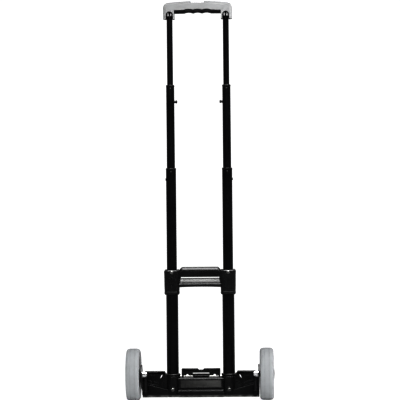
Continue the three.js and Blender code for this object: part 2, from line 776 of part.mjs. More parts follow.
function fingerInsert() {
  const shape = new THREE.Shape();
  const low = 954.6;
  shape.moveTo(INSERT_HALF, 960.8);
  shape.lineTo(INSERT_HALF, low);
  shape.lineTo(-INSERT_HALF, low);
  fingerCurve(shape, INSERT_HALF, 960.8, 961.6, 2.1);
  const fingers = new THREE.Shape();
  fingers.moveTo(INSERT_HALF - 10, low - 5);
  fingers.lineTo(-INSERT_HALF + 10, low - 5);
  fingerCurve(fingers, INSERT_HALF - 10, low, low + 0.2, 2.6);
  const section = roundedRect(-14.2, 14.2, low - 0.1, 980, 3.5);
  const block = common(facing(shape, -14.2, 14.2, 4), sideways(section, -60, 60, 3));
  const channel = box(-34, 34, -5.5, 5.5, YOKE_FLOOR - 1.3, 970);
  return cut(block, facing(fingers, -20, 20, 4), channel);
}

function releaseButton() {
  const cap = upright(roundedRect(-15, 15, -8, 8, 3), 973, 981);
  const dish = alongX(disc(60, -30, 30, 64), 1, 0, 0, 981 + 59.2);
  const stem = box(-6, 6, -4, 4, 970.4, 973.5);
  return join(cut(cap, dish), stem);
}

const YOKE_Z = [967.2, 970.2];

function releaseYoke() {
  const bar = box(-75, 75, -4, 4, YOKE_Z[0], YOKE_Z[1]);
  const holes = [-1, 1].map((side) => disc(1.7, YOKE_Z[0] - 1, YOKE_Z[1] - 1, 12).translate(side * TUBE_X, 0, 0));
  return cut(bar, ...holes);
}

// The wire that carries the button's push down the top tube to the locking cone at its foot.
function pushRod(side) {
  const foot = SECTIONS[3].bottom;
  const rod = turned([
    [0, foot - 11.5],
    [4.6, foot - 11.5],
    [4.6, foot - 9.5],
    [1.5, foot - 6.5],
    [1.5, YOKE_Z[1] - 1.2],
    [0, YOKE_Z[1] - 1.2],
  ], 12);
  return rod.translate(side * TUBE_X, 0, 0);
}

class Coil extends THREE.Curve {
  constructor(radius, bottom, top, turns) {
    super();
    Object.assign(this, { radius, bottom, top, turns });
  }

  getPoint(t, target = new THREE.Vector3()) {
    const angle = t * this.turns * 2 * Math.PI;
    const z = this.bottom + t * (this.top - this.bottom);
    return target.set(this.radius * Math.cos(angle), this.radius * Math.sin(angle), z);
  }
}

function buttonSpring() {
  const wire = new THREE.Shape();
  wire.absarc(0, 0, 0.4, 0, 2 * Math.PI, false);
  const extrudePath = new Coil(3.4, YOKE_FLOOR - 0.7, 966.6, 2.5);
  return new THREE.ExtrudeGeometry(wire, { steps: 24, curveSegments: 3, bevelEnabled: false, extrudePath });
}

// ---- assembly -----------------------------------------------------------------------------------
const COLOURS = {
  plastic: 0x1a1a1b,
  tube: 0x0e0e10,
  chrome: 0xc8c8cc,
  grip: 0xa8abb0,
  button: 0xe2e2e0,
  tyre: 0x9a9ea2,
  cap: 0x3a3b3d,
};

const trolley = new THREE.Group();
trolley.name = 'folding_trolley';

function add(name, geometry, colour, roughness = 0.5, metalness = 0) {
  const material = new THREE.MeshStandardMaterial({ color: COLOURS[colour], roughness, metalness });
  const mesh = new THREE.Mesh(geometry, material);
  mesh.name = name;
  trolley.add(mesh);
}

add('base_housing', baseHousing(), 'plastic');
add('carry_bracket', carryBracket(), 'plastic');
add('carry_rod', crossRod(), 'chrome', 0.15, 1);
add('toe_plate', toePlateWithFeet(), 'plastic');
add('toe_hinge_pin', alongX(disc(TOE_PIN_R, -127, 127, 12), 1, 0, TOE_PIN_Y, TOE_PIN_Z), 'chrome', 0.3, 1);
add('latch', latch(), 'plastic');
add('latch_pin', alongX(disc(LATCH_PIN_R, -55.3, 55.3, 12), 1, 0, LATCH_PIN_Y, LATCH_PIN_Z), 'chrome', 0.3, 1);
add('grip_body', gripBody(), 'grip');
add('finger_insert', fingerInsert(), 'plastic', 0.8);
add('release_button', releaseButton(), 'button');
add('release_yoke', releaseYoke(), 'plastic');
add('button_spring', buttonSpring(), 'chrome', 0.3, 1);

for (const [word, side] of [['left', -1], ['right', 1]]) {
  const [first, second, third, fourth] = SECTIONS;
  add(`lower_tube_${word}`, tube(first, side, [
    { z: SOCKET_SCREW_Z, radius: 2.3, toward: 'rear' },
    { z: BRACKET_SCREW_Z, radius: 2.3, toward: 'rear' },
  ]), 'tube', 0.3, 0.8);
  add(`socket_screw_${word}`, panScrew(side * TUBE_X, SOCKET_SCREW_Z, -19.7, -11.6, 4.5, 2), 'chrome', 0.3, 1);
  add(`bracket_screw_${word}`, panScrew(side * TUBE_X, BRACKET_SCREW_Z, -19.1, -13, 4.5, 2), 'chrome', 0.2, 1);
  add(`middle_tube_${word}`, tube(second, side, [
    { z: STOP_RIVET_Z, radius: STOP_RIVET_R + 0.15, toward: side },
    nubHole(second),
  ]), 'tube', 0.3, 0.8);
  add(`middle_collar_${word}`, collar(second, third, side), 'plastic');
  add(`middle_foot_${word}`, footBushing(second, first, side), 'plastic');
  add(`stop_rivet_${word}`, stopRivet(side), 'plastic');
  add(`upper_tube_${word}`, tube(third, side, [
    { z: CORD_PEG_Z, radius: CORD_PEG_R + 0.15, toward: -side },
    nubHole(third),
  ]), 'tube', 0.3, 0.8);
  add(`upper_collar_${word}`, collar(third, fourth, side), 'plastic');
  add(`upper_foot_${word}`, footBushing(third, second, side), 'plastic');
  add(`cord_peg_${word}`, cordPeg(side), 'plastic');
  add(`top_tube_${word}`, tube(fourth, side), 'tube', 0.3, 0.8);
  add(`top_foot_${word}`, footBushing(fourth, third, side, 2.2), 'plastic');
  add(`grip_ferrule_${word}`, ferrule(side), 'plastic');
  add(`push_rod_${word}`, pushRod(side), 'chrome', 0.3, 1);
  add(`toe_foot_${word}`, toeFoot(side), 'plastic', 0.9);
  add(`swing_pin_${word}`, swingPin(side), 'chrome', 0.3, 1);
  add(`wheel_bracket_${word}`, wheelBracket(side), 'tube', 0.5, 0.5);
  add(`axle_bolt_${word}`, axleBolt(side), 'chrome', 0.3, 1);
  add(`axle_nut_${word}`, acornNut(side), 'chrome', 0.15, 1);
  add(`axle_spacer_${word}`, axleSpacer(side), 'plastic');
  add(`tyre_${word}`, tyre(side), 'tyre', 0.8);
  add(`wheel_hub_${word}`, wheelHub(side), 'grip');
  add(`hub_cap_${word}`, hubCap(side), 'cap');
}

export default trolley;
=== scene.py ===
"""Looks of the folding trolley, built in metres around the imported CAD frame."""
import math

import bmesh
import bpy
from mathutils import Matrix, Vector
from mathutils.geometry import tessellate_polygon


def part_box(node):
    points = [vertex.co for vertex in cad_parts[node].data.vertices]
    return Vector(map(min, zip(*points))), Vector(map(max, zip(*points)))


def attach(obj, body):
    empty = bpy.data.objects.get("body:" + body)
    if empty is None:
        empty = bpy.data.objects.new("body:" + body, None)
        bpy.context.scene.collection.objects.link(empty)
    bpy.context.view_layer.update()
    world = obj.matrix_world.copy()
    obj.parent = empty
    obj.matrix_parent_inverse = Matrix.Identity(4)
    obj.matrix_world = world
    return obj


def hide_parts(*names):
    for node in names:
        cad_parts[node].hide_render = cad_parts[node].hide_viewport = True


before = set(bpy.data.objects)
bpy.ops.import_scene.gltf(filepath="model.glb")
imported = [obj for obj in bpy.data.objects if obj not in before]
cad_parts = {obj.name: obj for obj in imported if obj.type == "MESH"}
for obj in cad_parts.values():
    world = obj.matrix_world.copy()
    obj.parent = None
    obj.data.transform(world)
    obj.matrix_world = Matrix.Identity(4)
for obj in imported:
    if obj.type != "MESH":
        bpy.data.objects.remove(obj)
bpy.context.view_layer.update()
MM = 0.001
SIDES = (("left", -1), ("right", 1))

# Heights above the floor.
SOCKET_TOP = 57.5 * MM
OPENING_FOOT = 281.7 * MM
OPENING_TOP = 298 * MM
SLEEVE_RIM = 315 * MM
BARE_END_Z = 947 * MM
FINGER_TOP = 960.8 * MM
RECESS_FLOOR = 979 * MM

SLEEVE_FACE = 18.98 * MM
FINGER_PITCH = 22.4 * MM
CROWN = 4.2 * MM

# The studio: share of the paper that is lit to full white, and how bright reflections are at eye level.
FLOOR_WASH = 0.75
EYE_LEVEL_SHADE = 0.07
CAMERA_AT = (0.106, -4.098, 0.489)
CAMERA_AIM = (0.0017, 0, 0.489)
CAMERA_LENS = 148.1
CAMERA_ROLL = -0.55


# ---- places taken from the frame ----------------------------------------------------------------
def low(node):
    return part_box(node)[0]


def high(node):
    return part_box(node)[1]


def middle(node):
    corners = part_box(node)
    return (corners[0] + corners[1]) / 2


def extent(node):
    """The lowest corner, the highest corner and the middle of a node's box."""
    return low(node), high(node), middle(node)


def radius(node, axis=0):
    return (high(node)[axis] - low(node)[axis]) / 2


# ---- mesh helpers -------------------------------------------------------------------------------
AXES = {
    "z": Matrix.Identity(3),
    "x": Matrix(((0, 0, 1), (0, 1, 0), (-1, 0, 0))),
    "-x": Matrix(((0, 0, -1), (0, 1, 0), (1, 0, 0))),
    "y": Matrix(((1, 0, 0), (0, 0, 1), (0, -1, 0))),
    "-y": Matrix(((1, 0, 0), (0, 0, -1), (0, 1, 0))),
}


def turned(profile, at, axis="z", segments=64):
    """Turns (radius, height) points about a line. Points at radius 0 close the ends."""
    mesh = bmesh.new()
    rings = []
    for r, h in profile:
        if r < 1e-7:
            rings.append([mesh.verts.new((0, 0, h))])
            continue
        ring = []
        for i in range(segments):
            angle = 2 * math.pi * i / segments
            ring.append(mesh.verts.new((r * math.cos(angle), r * math.sin(angle), h)))
        rings.append(ring)
    if len(rings[0]) > 1 and len(rings[-1]) > 1:
        rings.append(rings[0])
    for first, second in zip(rings, rings[1:]):
        count = max(len(first), len(second))
        for i in range(count):
            j = (i + 1) % count
            corners = [first[i % len(first)], first[j % len(first)]]
            corners += [second[j % len(second)], second[i % len(second)]]
            mesh.faces.new(list(dict.fromkeys(corners)))
    place(mesh, AXES[axis], at)
    return mesh


def dome(r, base, height, steps):
    """Profile points over a dome, from its rim to its middle."""
    angles = [math.radians(90 * k / steps) for k in range(steps + 1)]
    return [(r * math.cos(a), base + height * math.sin(a)) for a in angles]


def mm(points):
    """The same points, given in millimetres."""
    return [(u * MM, v * MM) for u, v in points]


def span(side, near, far):
    """A stretch along an axis, in order, given in millimetres for the side where the axis is positive."""
    return sorted((side * near * MM, side * far * MM))


def cylinder(r, start, end, at, axis="z", segments=64):
    return turned([(0, start), (r, start), (r, end), (0, end)], at, axis, segments)


def place(mesh, turn, at):
    bmesh.ops.transform(mesh, matrix=Matrix.Translation(at) @ turn.to_4x4(), verts=mesh.verts)
    bmesh.ops.recalc_face_normals(mesh, faces=mesh.faces)


def bevel(mesh, width, segments=3, angle=30):
    """Rounds the edges of a mesh that are sharper than the angle."""
    limit = math.radians(angle)
    edges = [e for e in mesh.edges if len(e.link_faces) == 2 and e.calc_face_angle(0) > limit]
    bmesh.ops.bevel(
        mesh, geom=edges, offset=width, segments=segments, profile=0.5, affect="EDGES", clamp_overlap=True)
    return mesh


def prism(outline, lower, upper, plane="xz", holes=(), round_by=0.0, segments=3):
    """A flat outline with holes, given thickness: "xz" runs along Y, "xy" along Z and "yz" along X."""
    loops = [list(outline)] + [list(h) for h in holes]
    flat = [Vector((u, v, 0)) for loop in loops for u, v in loop]
    mesh = bmesh.new()
    bottom = [mesh.verts.new((p.x, p.y, lower)) for p in flat]
    top = [mesh.verts.new((p.x, p.y, upper)) for p in flat]
    if len(loops) == 1:
        mesh.faces.new(bottom)
        mesh.faces.new(top)
    else:
        polygons = [[Vector((u, v, 0)) for u, v in loop] for loop in loops]
        for a, b, c in tessellate_polygon(polygons):
            mesh.faces.new((bottom[a], bottom[b], bottom[c]))
            mesh.faces.new((top[a], top[b], top[c]))
    start = 0
    for loop in loops:
        count = len(loop)
        for i in range(count):
            a, b = start + i, start + (i + 1) % count
            mesh.faces.new((bottom[a], bottom[b], top[b], top[a]))
        start += count
    turns = {
        "xy": Matrix.Identity(3),
        "xz": Matrix(((1, 0, 0), (0, 0, 1), (0, 1, 0))),
        "yz": Matrix(((0, 0, 1), (1, 0, 0), (0, 1, 0))),
    }
    place(mesh, turns[plane], (0, 0, 0))
    if round_by:
        bevel(mesh, round_by, segments)
    return mesh


def block(corner, other, round_by=0.0, segments=3):
    (x0, y0, z0), (x1, y1, z1) = corner, other
    return prism([(x0, y0), (x1, y0), (x1, y1), (x0, y1)], z0, z1, "xy", (), round_by, segments)


def arc(cx, cy, r, start, end, count=10):
    """Points of an arc, angles in degrees."""
    points = []
    for i in range(count + 1):
        angle = math.radians(start + (end - start) * i / count)
        points.append((cx + r * math.cos(angle), cy + r * math.sin(angle)))
    return points


def circle(cx, cy, r, count):
    return arc(cx, cy, r, 0, 360 - 360 / count, count - 1)


def rounded(u0, u1, v0, v1, r, count=8):
    return (
        arc(u1 - r, v0 + r, r, -90, 0, count)
        + arc(u1 - r, v1 - r, r, 0, 90, count)
        + arc(u0 + r, v1 - r, r, 90, 180, count)
        + arc(u0 + r, v0 + r, r, 180, 270, count)
    )


def smooth_outline(points, radius_at, count=5):
    """Rounds each corner of a polygon by a small radius."""
    result = []
    total = len(points)
    for i in range(total):
        before, here, after = (Vector(points[(i + k) % total]) for k in (-1, 0, 1))
        back, ahead = before - here, after - here
        reach = min(radius_at, back.length * 0.45, ahead.length * 0.45)
        first = here + back.normalized() * reach
        last = here + ahead.normalized() * reach
        for k in range(count + 1):
            t = k / count
            point = first * (1 - t) ** 2 + here * (2 * t * (1 - t)) + last * t * t
            result.append((point.x, point.y))
    return result


def loft(rings):
    """Skins a stack of rings of equal length, and closes both ends."""
    mesh = bmesh.new()
    rows = [[mesh.verts.new(p) for p in ring] for ring in rings]
    count = len(rows[0])
    for first, second in zip(rows, rows[1:]):
        for i in range(count):
            j = (i + 1) % count
            mesh.faces.new((first[i], first[j], second[j], second[i]))
    mesh.faces.new(rows[0])
    mesh.faces.new(rows[-1])
    bmesh.ops.recalc_face_normals(mesh, faces=mesh.faces)
    return mesh


def merged(meshes):
    """One mesh that holds all the shells of a moulding."""
    whole = bmesh.new()
    for part in meshes:
        scratch = bpy.data.meshes.new("scratch")
        part.to_mesh(scratch)
        part.free()
        whole.from_mesh(scratch)
        bpy.data.meshes.remove(scratch)
    return whole


def carve(mesh, tools, operation="DIFFERENCE"):
    """Cuts tools out of a mesh, or keeps only what they share with it."""
    body = bare_object("carved", mesh)
    for tool in tools:
        cutter = bare_object("cutter", tool)
        modifier = body.modifiers.new("cut", "BOOLEAN")
        modifier.operation = operation
        modifier.solver = "EXACT"
        modifier.object = cutter
        graph = bpy.context.evaluated_depsgraph_get()
        result = bpy.data.meshes.new_from_object(body.evaluated_get(graph))
        body.modifiers.clear()
        body.data = result
        bpy.data.objects.remove(cutter)
    result = bmesh.new()
    result.from_mesh(body.data)
    bpy.data.objects.remove(body)
    bmesh.ops.remove_doubles(result, verts=result.verts, dist=2e-6)
    bmesh.ops.dissolve_limit(result, angle_limit=math.radians(0.5), verts=result.verts, edges=result.edges)
    return result


def bare_object(name, mesh):
    data = bpy.data.meshes.new(name)
    mesh.to_mesh(data)
    mesh.free()
    piece = bpy.data.objects.new(name, data)
    bpy.context.scene.collection.objects.link(piece)
    return piece


def finish_shading(piece, angle):
    data = piece.data
    data.polygons.foreach_set("use_smooth", [True] * len(data.polygons))
    data.set_sharp_from_angle(angle=math.radians(angle))


def piece_from(name, meshes, body, slot, node, angle=32, soften=0.0, material=None):
    """Makes a visible piece that rides on a body and stands for a CAD node."""
    mesh = merged(meshes if isinstance(meshes, list) else [meshes])
    piece = bare_object(name, mesh)
    if soften:
        rounding = piece.modifiers.new("edges", "BEVEL")
        rounding.width = soften
        rounding.segments = 2
        rounding.limit_method = "ANGLE"
        rounding.angle_limit = math.radians(40)
        rounding.use_clamp_overlap = True
        graph = bpy.context.evaluated_depsgraph_get()
        data = bpy.data.meshes.new_from_object(piece.evaluated_get(graph))
        piece.modifiers.clear()
        piece.data = data
    finish_shading(piece, angle)
    piece.data.materials.clear()
    piece.data.materials.append(material or MATERIALS[slot])
    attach(piece, body)
    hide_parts(node)
    return piece


# ---- materials ----------------------------------------------------------------------------------
class Nodes:
    """Short calls for building a node tree."""

    def __init__(self, name):
        self.material = bpy.data.materials.new(name)
        self.material.use_nodes = True
        self.tree = self.material.node_tree
        self.shader = self.tree.nodes["Principled BSDF"]
        self.place = self.tree.nodes.new("ShaderNodeTexCoord").outputs["Object"]

    def add(self, kind, **settings):
        node = self.tree.nodes.new(kind)
        for key, value in settings.items():
            setattr(node, key, value)
        return node

    def link(self, source, target):
        self.tree.links.new(source, target)

    def scaled(self, x, y, z):
        mapping = self.add("ShaderNodeMapping")
        mapping.inputs["Scale"].default_value = (x, y, z)
        self.link(self.place, mapping.inputs["Vector"])
        return mapping.outputs["Vector"]

    def along(self, axis):
        split = self.add("ShaderNodeSeparateXYZ")
        self.link(self.place, split.inputs[0])
        return split.outputs[axis]

    def band(self, axis, start, end, fade):
        """1 between two places on an axis, fading to 0 at both ends."""
        where = self.along(axis)
        rise = self.remap(where, start, start + fade, 0.0, 1.0)
        return self.maths("MULTIPLY", rise, self.remap(where, end - fade, end, 1.0, 0.0))

    def noise(self, scale, detail=4.0, vector=None, rough=0.55):
        node = self.add("ShaderNodeTexNoise")
        node.inputs["Scale"].default_value = scale
        node.inputs["Detail"].default_value = detail
        node.inputs["Roughness"].default_value = rough
        self.link(vector or self.place, node.inputs["Vector"])
        return node.outputs["Fac"]

    def cells(self, scale, vector=None):
        node = self.add("ShaderNodeTexVoronoi")
        node.inputs["Scale"].default_value = scale
        self.link(vector or self.place, node.inputs["Vector"])
        return node.outputs["Distance"]

    def remap(self, value, a, b, c, d):
        node = self.add("ShaderNodeMapRange", clamp=True)
        for key, number in zip(("From Min", "From Max", "To Min", "To Max"), (a, b, c, d)):
            node.inputs[key].default_value = number
        self.link(value, node.inputs["Value"])
        return node.outputs["Result"]

    def maths(self, operation, a, b):
        node = self.add("ShaderNodeMath", operation=operation)
        for socket, value in zip(node.inputs, (a, b)):
            if isinstance(value, (int, float)):
                socket.default_value = value
            else:
                self.link(value, socket)
        return node.outputs[0]

    def mix(self, factor, first, second):
        node = self.add("ShaderNodeMix", data_type="RGBA")
        self.link(factor, node.inputs[0])
        for socket, value in ((node.inputs[6], first), (node.inputs[7], second)):
            if isinstance(value, tuple):
                socket.default_value = (*value, 1.0)
            else:
                self.link(value, socket)
        return node.outputs[2]

    def bump(self, height, strength, distance, before=None):
        node = self.add("ShaderNodeBump")
        node.inputs["Strength"].default_value = strength
        node.inputs["Distance"].default_value = distance
        self.link(height, node.inputs["Height"])
        if before is not None:
            self.link(before, node.inputs["Normal"])
        return node.outputs["Normal"]

    def edge_mask(self, width):
        """1 along outer edges and 0 on flats."""
        soft = self.add("ShaderNodeBevel", samples=4)
        soft.inputs["Radius"].default_value = width
        true = self.add("ShaderNodeNewGeometry").outputs["Normal"]
        dot = self.add("ShaderNodeVectorMath", operation="DOT_PRODUCT")
        self.link(soft.outputs["Normal"], dot.inputs[0])
        self.link(true, dot.inputs[1])
        return self.remap(dot.outputs["Value"], 0.99, 0.80, 0.0, 1.0)

    def painted_rim_shade(self, tone, edge_tone, amount):
        """Painted shade: darkens a tone where the surface turns away from the eye."""
        if not amount:
            return tone
        facing = self.add("ShaderNodeLayerWeight")
        facing.inputs["Blend"].default_value = 0.5
        return self.mix(self.remap(facing.outputs["Facing"], 0.72, 0.96, 0.0, amount), tone, edge_tone)

    def set(self, **values):
        for key, value in values.items():
            socket = self.shader.inputs[key.replace("_", " ")]
            if isinstance(value, (int, float)):
                socket.default_value = value
            elif isinstance(value, tuple):
                socket.default_value = (*value, 1.0)
            else:
                self.link(value, socket)


def moulded(
        name, dark, light, worn, rough, grain, grain_depth, specular=0.3, rim=0.0, pale_foot_and_panel_sheen=False):
    """Moulded plastic: a fine spark-eroded grain, faint clouding, dust and paler rubbed edges, with painted
    shade at the rim where asked, and for the base pale patches near the floor and a painted sheen on its
    panel.
    """
    n = Nodes(name)
    cloud = n.remap(n.noise(9.0, 5.0), 0.35, 0.65, 0.0, 1.0)
    tone = n.mix(cloud, dark, light)
    specks = n.remap(n.noise(900.0, 2.0), 0.68, 0.76, 0.0, 0.35)
    tone = n.mix(specks, tone, worn)
    rubbed = n.maths("MULTIPLY", n.edge_mask(0.0009), n.remap(n.noise(140.0), 0.4, 0.62, 0.0, 1.0))
    tone = n.mix(rubbed, tone, worn)
    if pale_foot_and_panel_sheen:
        # Paler patches along the foot of the moulding, and a painted sheen on the sloping panel, lighter to
        # the right.
        near_floor = n.remap(n.along("Z"), 2 * MM, 6.5 * MM, 1.0, 0.0)
        patches = n.remap(n.noise(70.0, 4.0), 0.35, 0.65, 0.3, 1.0)
        tone = n.mix(n.maths("MULTIPLY", near_floor, patches), tone, PALE_PATCH_AND_SHEEN_GREY)
        across, up = n.band("X", -51 * MM, 51 * MM, MM), n.band("Z", 24 * MM, 43 * MM, 2 * MM)
        panel = n.maths("MULTIPLY", across, up)
        sheen_to_right = n.remap(n.along("X"), -50 * MM, 40 * MM, 0.30, 0.60)
        streaks = n.remap(n.noise(90.0, 4.0, n.scaled(0.25, 1.0, 1.0)), 0.3, 0.7, 0.55, 1.0)
        tone = n.mix(n.maths("MULTIPLY", panel, n.maths("MULTIPLY", sheen_to_right, streaks)), tone, PALE_PATCH_AND_SHEEN_GREY)
    # Painted shade: the rim darkens where the surface turns away from the eye, by the share given in rim.
    tone = n.painted_rim_shade(tone, tuple(0.4 * shade for shade in dark), rim)
    smear = n.remap(n.noise(26.0, 6.0), 0.3, 0.7, rough - 0.07, rough + 0.09)
    fine = n.bump(n.cells(grain), 0.35, grain_depth)
    n.set(
        Base_Color=tone,
        Roughness=n.maths("SUBTRACT", smear, n.maths("MULTIPLY", rubbed, 0.1)),
        Normal=n.bump(n.noise(60.0, 3.0), 0.08, 0.0006, fine),
    )
    n.shader.inputs["Specular IOR Level"].default_value = specular
    return n.material


def coated_tube(name, dark, light, scuff):
    """Satin black coat on drawn tube, with lengthwise lines and rub marks."""
    n = Nodes(name)
    along = n.scaled(1.0, 1.0, 0.03)
    lines = n.noise(1500.0, 3.0, along)
    rub = n.remap(n.noise(420.0, 5.0, n.scaled(1.0, 1.0, 0.02)), 0.66, 0.72, 0.0, 0.5)
    tone = n.mix(n.remap(n.noise(12.0), 0.35, 0.65, 0.0, 1.0), dark, light)
    tone = n.mix(rub, tone, scuff)
    rough = n.remap(n.noise(35.0, 5.0, n.scaled(1.0, 1.0, 0.25)), 0.3, 0.7, 0.22, 0.34)
    rough = n.maths("ADD", rough, n.maths("MULTIPLY", rub, 0.2))
    n.set(
        Base_Color=tone,
        Roughness=rough,
        Normal=n.bump(lines, 0.10, 0.00006, n.bump(n.noise(700.0, 2.0), 0.12, 0.00008)),
    )
    n.shader.inputs["Specular IOR Level"].default_value = 0.3
    return n.material


def plated(name, tone, stain, rough, streak, brushed, metal=1.0):
    """Plated steel: bright metal with slight haze, fine polishing marks and small stains."""
    n = Nodes(name)
    haze = n.remap(n.noise(180.0, 5.0), 0.45, 0.75, 0.0, 0.6)
    marks = n.noise(2400.0, 2.0, n.scaled(*streak))
    n.set(
        Base_Color=n.mix(haze, tone, stain),
        Metallic=metal,
        Roughness=n.remap(n.noise(300.0, 4.0), 0.3, 0.7, rough, rough + 0.10),
        Normal=n.bump(marks, brushed, 0.00004),
    )
    return n.material


def soft_grip(name, dark, light):
    """Soft-touch rubber: matt, with a leathery pebble and a little dust in the hollows."""
    n = Nodes(name)
    pebble = n.cells(1400.0)
    dust = n.remap(pebble, 0.0, 0.25, 0.25, 0.0)
    n.set(
        Base_Color=n.mix(dust, dark, light),
        Roughness=n.remap(n.noise(60.0), 0.3, 0.7, 0.6, 0.8),
        Normal=n.bump(pebble, 0.5, 0.00025),
    )
    n.shader.inputs["Specular IOR Level"].default_value = 0.25
    return n.material


def grey_tread(name, pale, deep, dirt_and_shade):
    """Non-marking grey tread: matt rubber, faint mottling, grime in patches, and painted shade along its
    edges and where it turns away from the eye.
    """
    n = Nodes(name)
    mottle = n.remap(n.noise(30.0, 6.0), 0.35, 0.65, 0.0, 1.0)
    tone = n.mix(mottle, pale, deep)
    grime = n.remap(n.noise(260.0, 6.0, None, 0.7), 0.56, 0.72, 0.0, 0.35)
    tone = n.mix(grime, tone, dirt_and_shade)
    # Painted shade on the tread's edges, then at the rim where it turns away from the eye.
    tone = n.mix(n.maths("MULTIPLY", n.edge_mask(0.0012), 0.35), tone, dirt_and_shade)
    tone = n.painted_rim_shade(tone, dirt_and_shade, 0.6)
    n.set(
        Base_Color=tone,
        Roughness=n.remap(n.noise(90.0, 4.0), 0.3, 0.7, 0.55, 0.72),
        Normal=n.bump(n.noise(1600.0, 3.0), 0.25, 0.00012, n.bump(n.noise(45.0), 0.06, 0.0008)),
    )
    n.shader.inputs["Specular IOR Level"].default_value = 0.1
    return n.material


BLACK_TONES = (0.014, 0.014, 0.0145), (0.022, 0.022, 0.0225), (0.07, 0.07, 0.072)
# Grey for the pale patches near the floor and the painted sheen on the base's panel.
PALE_PATCH_AND_SHEEN_GREY = (0.3, 0.3, 0.29)
TUBE_COAT = (0.009, 0.009, 0.010), (0.015, 0.015, 0.017), (0.05, 0.05, 0.052)


def all_materials():
    return {
        "black_plastic": moulded(
            "black_plastic", *BLACK_TONES, 0.27, 2600.0, 0.00004, 0.5),
        "black_tube": coated_tube("black_tube", *TUBE_COAT),
        "black_steel": moulded(
            "black_steel", (0.03, 0.03, 0.031), (0.05, 0.05, 0.051), (0.2, 0.2, 0.2),
            0.3, 1500.0, 0.00008, 0.5),
        "chrome": plated("chrome", (0.93, 0.93, 0.935), (0.80, 0.80, 0.81), 0.12, (0.1, 1.0, 1.0), 0.04),
        "steel": plated("steel", (0.62, 0.62, 0.60), (0.42, 0.41, 0.40), 0.25, (1.0, 1.0, 0.2), 0.12),
        # Painted shade darkens the rim of the grip and hubs, where they turn away from the eye.
        "grip_grey": moulded(
            "grip_grey", (0.44, 0.44, 0.44), (0.49, 0.49, 0.49), (0.56, 0.56, 0.56),
            0.5, 2200.0, 0.00008, 0.08, rim=0.7),
        "button_pale": moulded(
            "button_pale", (0.60, 0.60, 0.585), (0.64, 0.64, 0.625), (0.72, 0.72, 0.71),
            0.3, 3000.0, 0.00002, 0.5),
        "soft_black": soft_grip("soft_black", (0.012, 0.012, 0.012), (0.04, 0.04, 0.04)),
        "tyre_grey": grey_tread(
            "tyre_grey", (0.520, 0.529, 0.538), (0.480, 0.488, 0.495), (0.32, 0.32, 0.315)),
        "cap_grey": moulded(
            "cap_grey", (0.12, 0.126, 0.123), (0.15, 0.157, 0.154), (0.26, 0.26, 0.26),
            0.4, 2400.0, 0.00006, 0.4),
    }


MATERIALS = all_materials()
SATIN_ROD = plated(
    "satin_rod", (0.56, 0.56, 0.555), (0.48, 0.48, 0.475), 0.45, (0.1, 1.0, 1.0), 0.08, metal=0.1)
# The base's plastic, with pale patches near the floor and a painted sheen on its sloping panel.
BASE_WITH_PANEL_SHEEN = moulded(
    "black_plastic_panel_sheen", *BLACK_TONES, 0.28, 2600.0, 0.00004, 0.5, pale_foot_and_panel_sheen=True)
SCREW_STEEL = plated("screw_steel", (0.26, 0.26, 0.255), (0.16, 0.16, 0.155), 0.38, (1.0, 1.0, 0.2), 0.12)
# Near-white and not metallic, so the bead's colour paints in the glints that bare metal would show.
BEAD_PAINTED_GLINT = plated(
    "bead_painted_glint", (0.98, 0.98, 0.98), (0.94, 0.94, 0.94), 0.5, (1.0, 1.0, 0.2), 0.05, metal=0.0)


# ---- telescoping tubes --------------------------------------------------------------------------
def section_tube(node, body):
    """A drawn tube with a rolled edge at each open end."""
    lo, hi, mid = extent(node)
    outer = radius(node)
    inner = outer - (1.2 if outer > 0.013 else 1.0) * MM
    lip = 0.35 * MM
    z0, z1 = lo.z, hi.z
    profile = [
        (inner, z0 + lip), (inner + lip, z0), (outer - lip, z0), (outer, z0 + lip),
        (outer, z1 - lip), (outer - lip, z1), (inner + lip, z1), (inner, z1 - lip),
    ]
    piece_from(node + "_skin", turned(profile, (mid.x, 0, 0), "z", 96), body, "black_tube", node)


def top_tube(node):
    """The thinnest tube. Its coat stops short of the end, where a bare split bead is rolled round it,
    coloured near-white as a painted highlight.
    """
    lo, hi, mid = extent(node)
    outer = radius(node)
    inner = outer - 1.0 * MM
    lip = 0.35 * MM
    bead, top = BARE_END_Z, BARE_END_Z + 8.6 * MM
    neck = outer - 0.8 * MM
    profile = [
        (inner, lo.z + lip), (inner + lip, lo.z), (outer - lip, lo.z), (outer, lo.z + lip),
        (outer, bead - 0.8 * MM), (neck, bead - 0.4 * MM), (neck, hi.z - lip), (neck - lip, hi.z),
        (inner, hi.z),
    ]
    steps = 8
    swell = []
    for k in range(steps + 1):
        angle = math.radians(-62 + 124 * k / steps)
        out = outer - 1.6 * MM + 1.6 * MM * math.cos(angle)
        swell.append((out, (bead + top) / 2 + 4.8 * MM * math.sin(angle)))
    seat = neck - 0.15 * MM
    swell += [(seat, swell[-1][1]), (seat, swell[0][1])]
    split = 1.8 * MM
    ring = carve(turned(swell, (mid.x, 0, 0), "z", 96), [
        block((mid.x - split, -outer - 1 * MM, bead - 1 * MM), (mid.x + split, 0, top + 1 * MM)),
    ])
    shells = [turned(profile, (mid.x, 0, 0), "z", 96), ring]
    piece = piece_from(node + "_skin", shells, "handle", "black_tube", node, 40)
    # The bead's near-white colour is a painted highlight.
    piece.data.materials.append(BEAD_PAINTED_GLINT)
    for face in piece.data.polygons:
        away = math.hypot(face.center.x - mid.x, face.center.y)
        if face.center.z > bead and away > neck + 0.05 * MM:
            face.material_index = 1


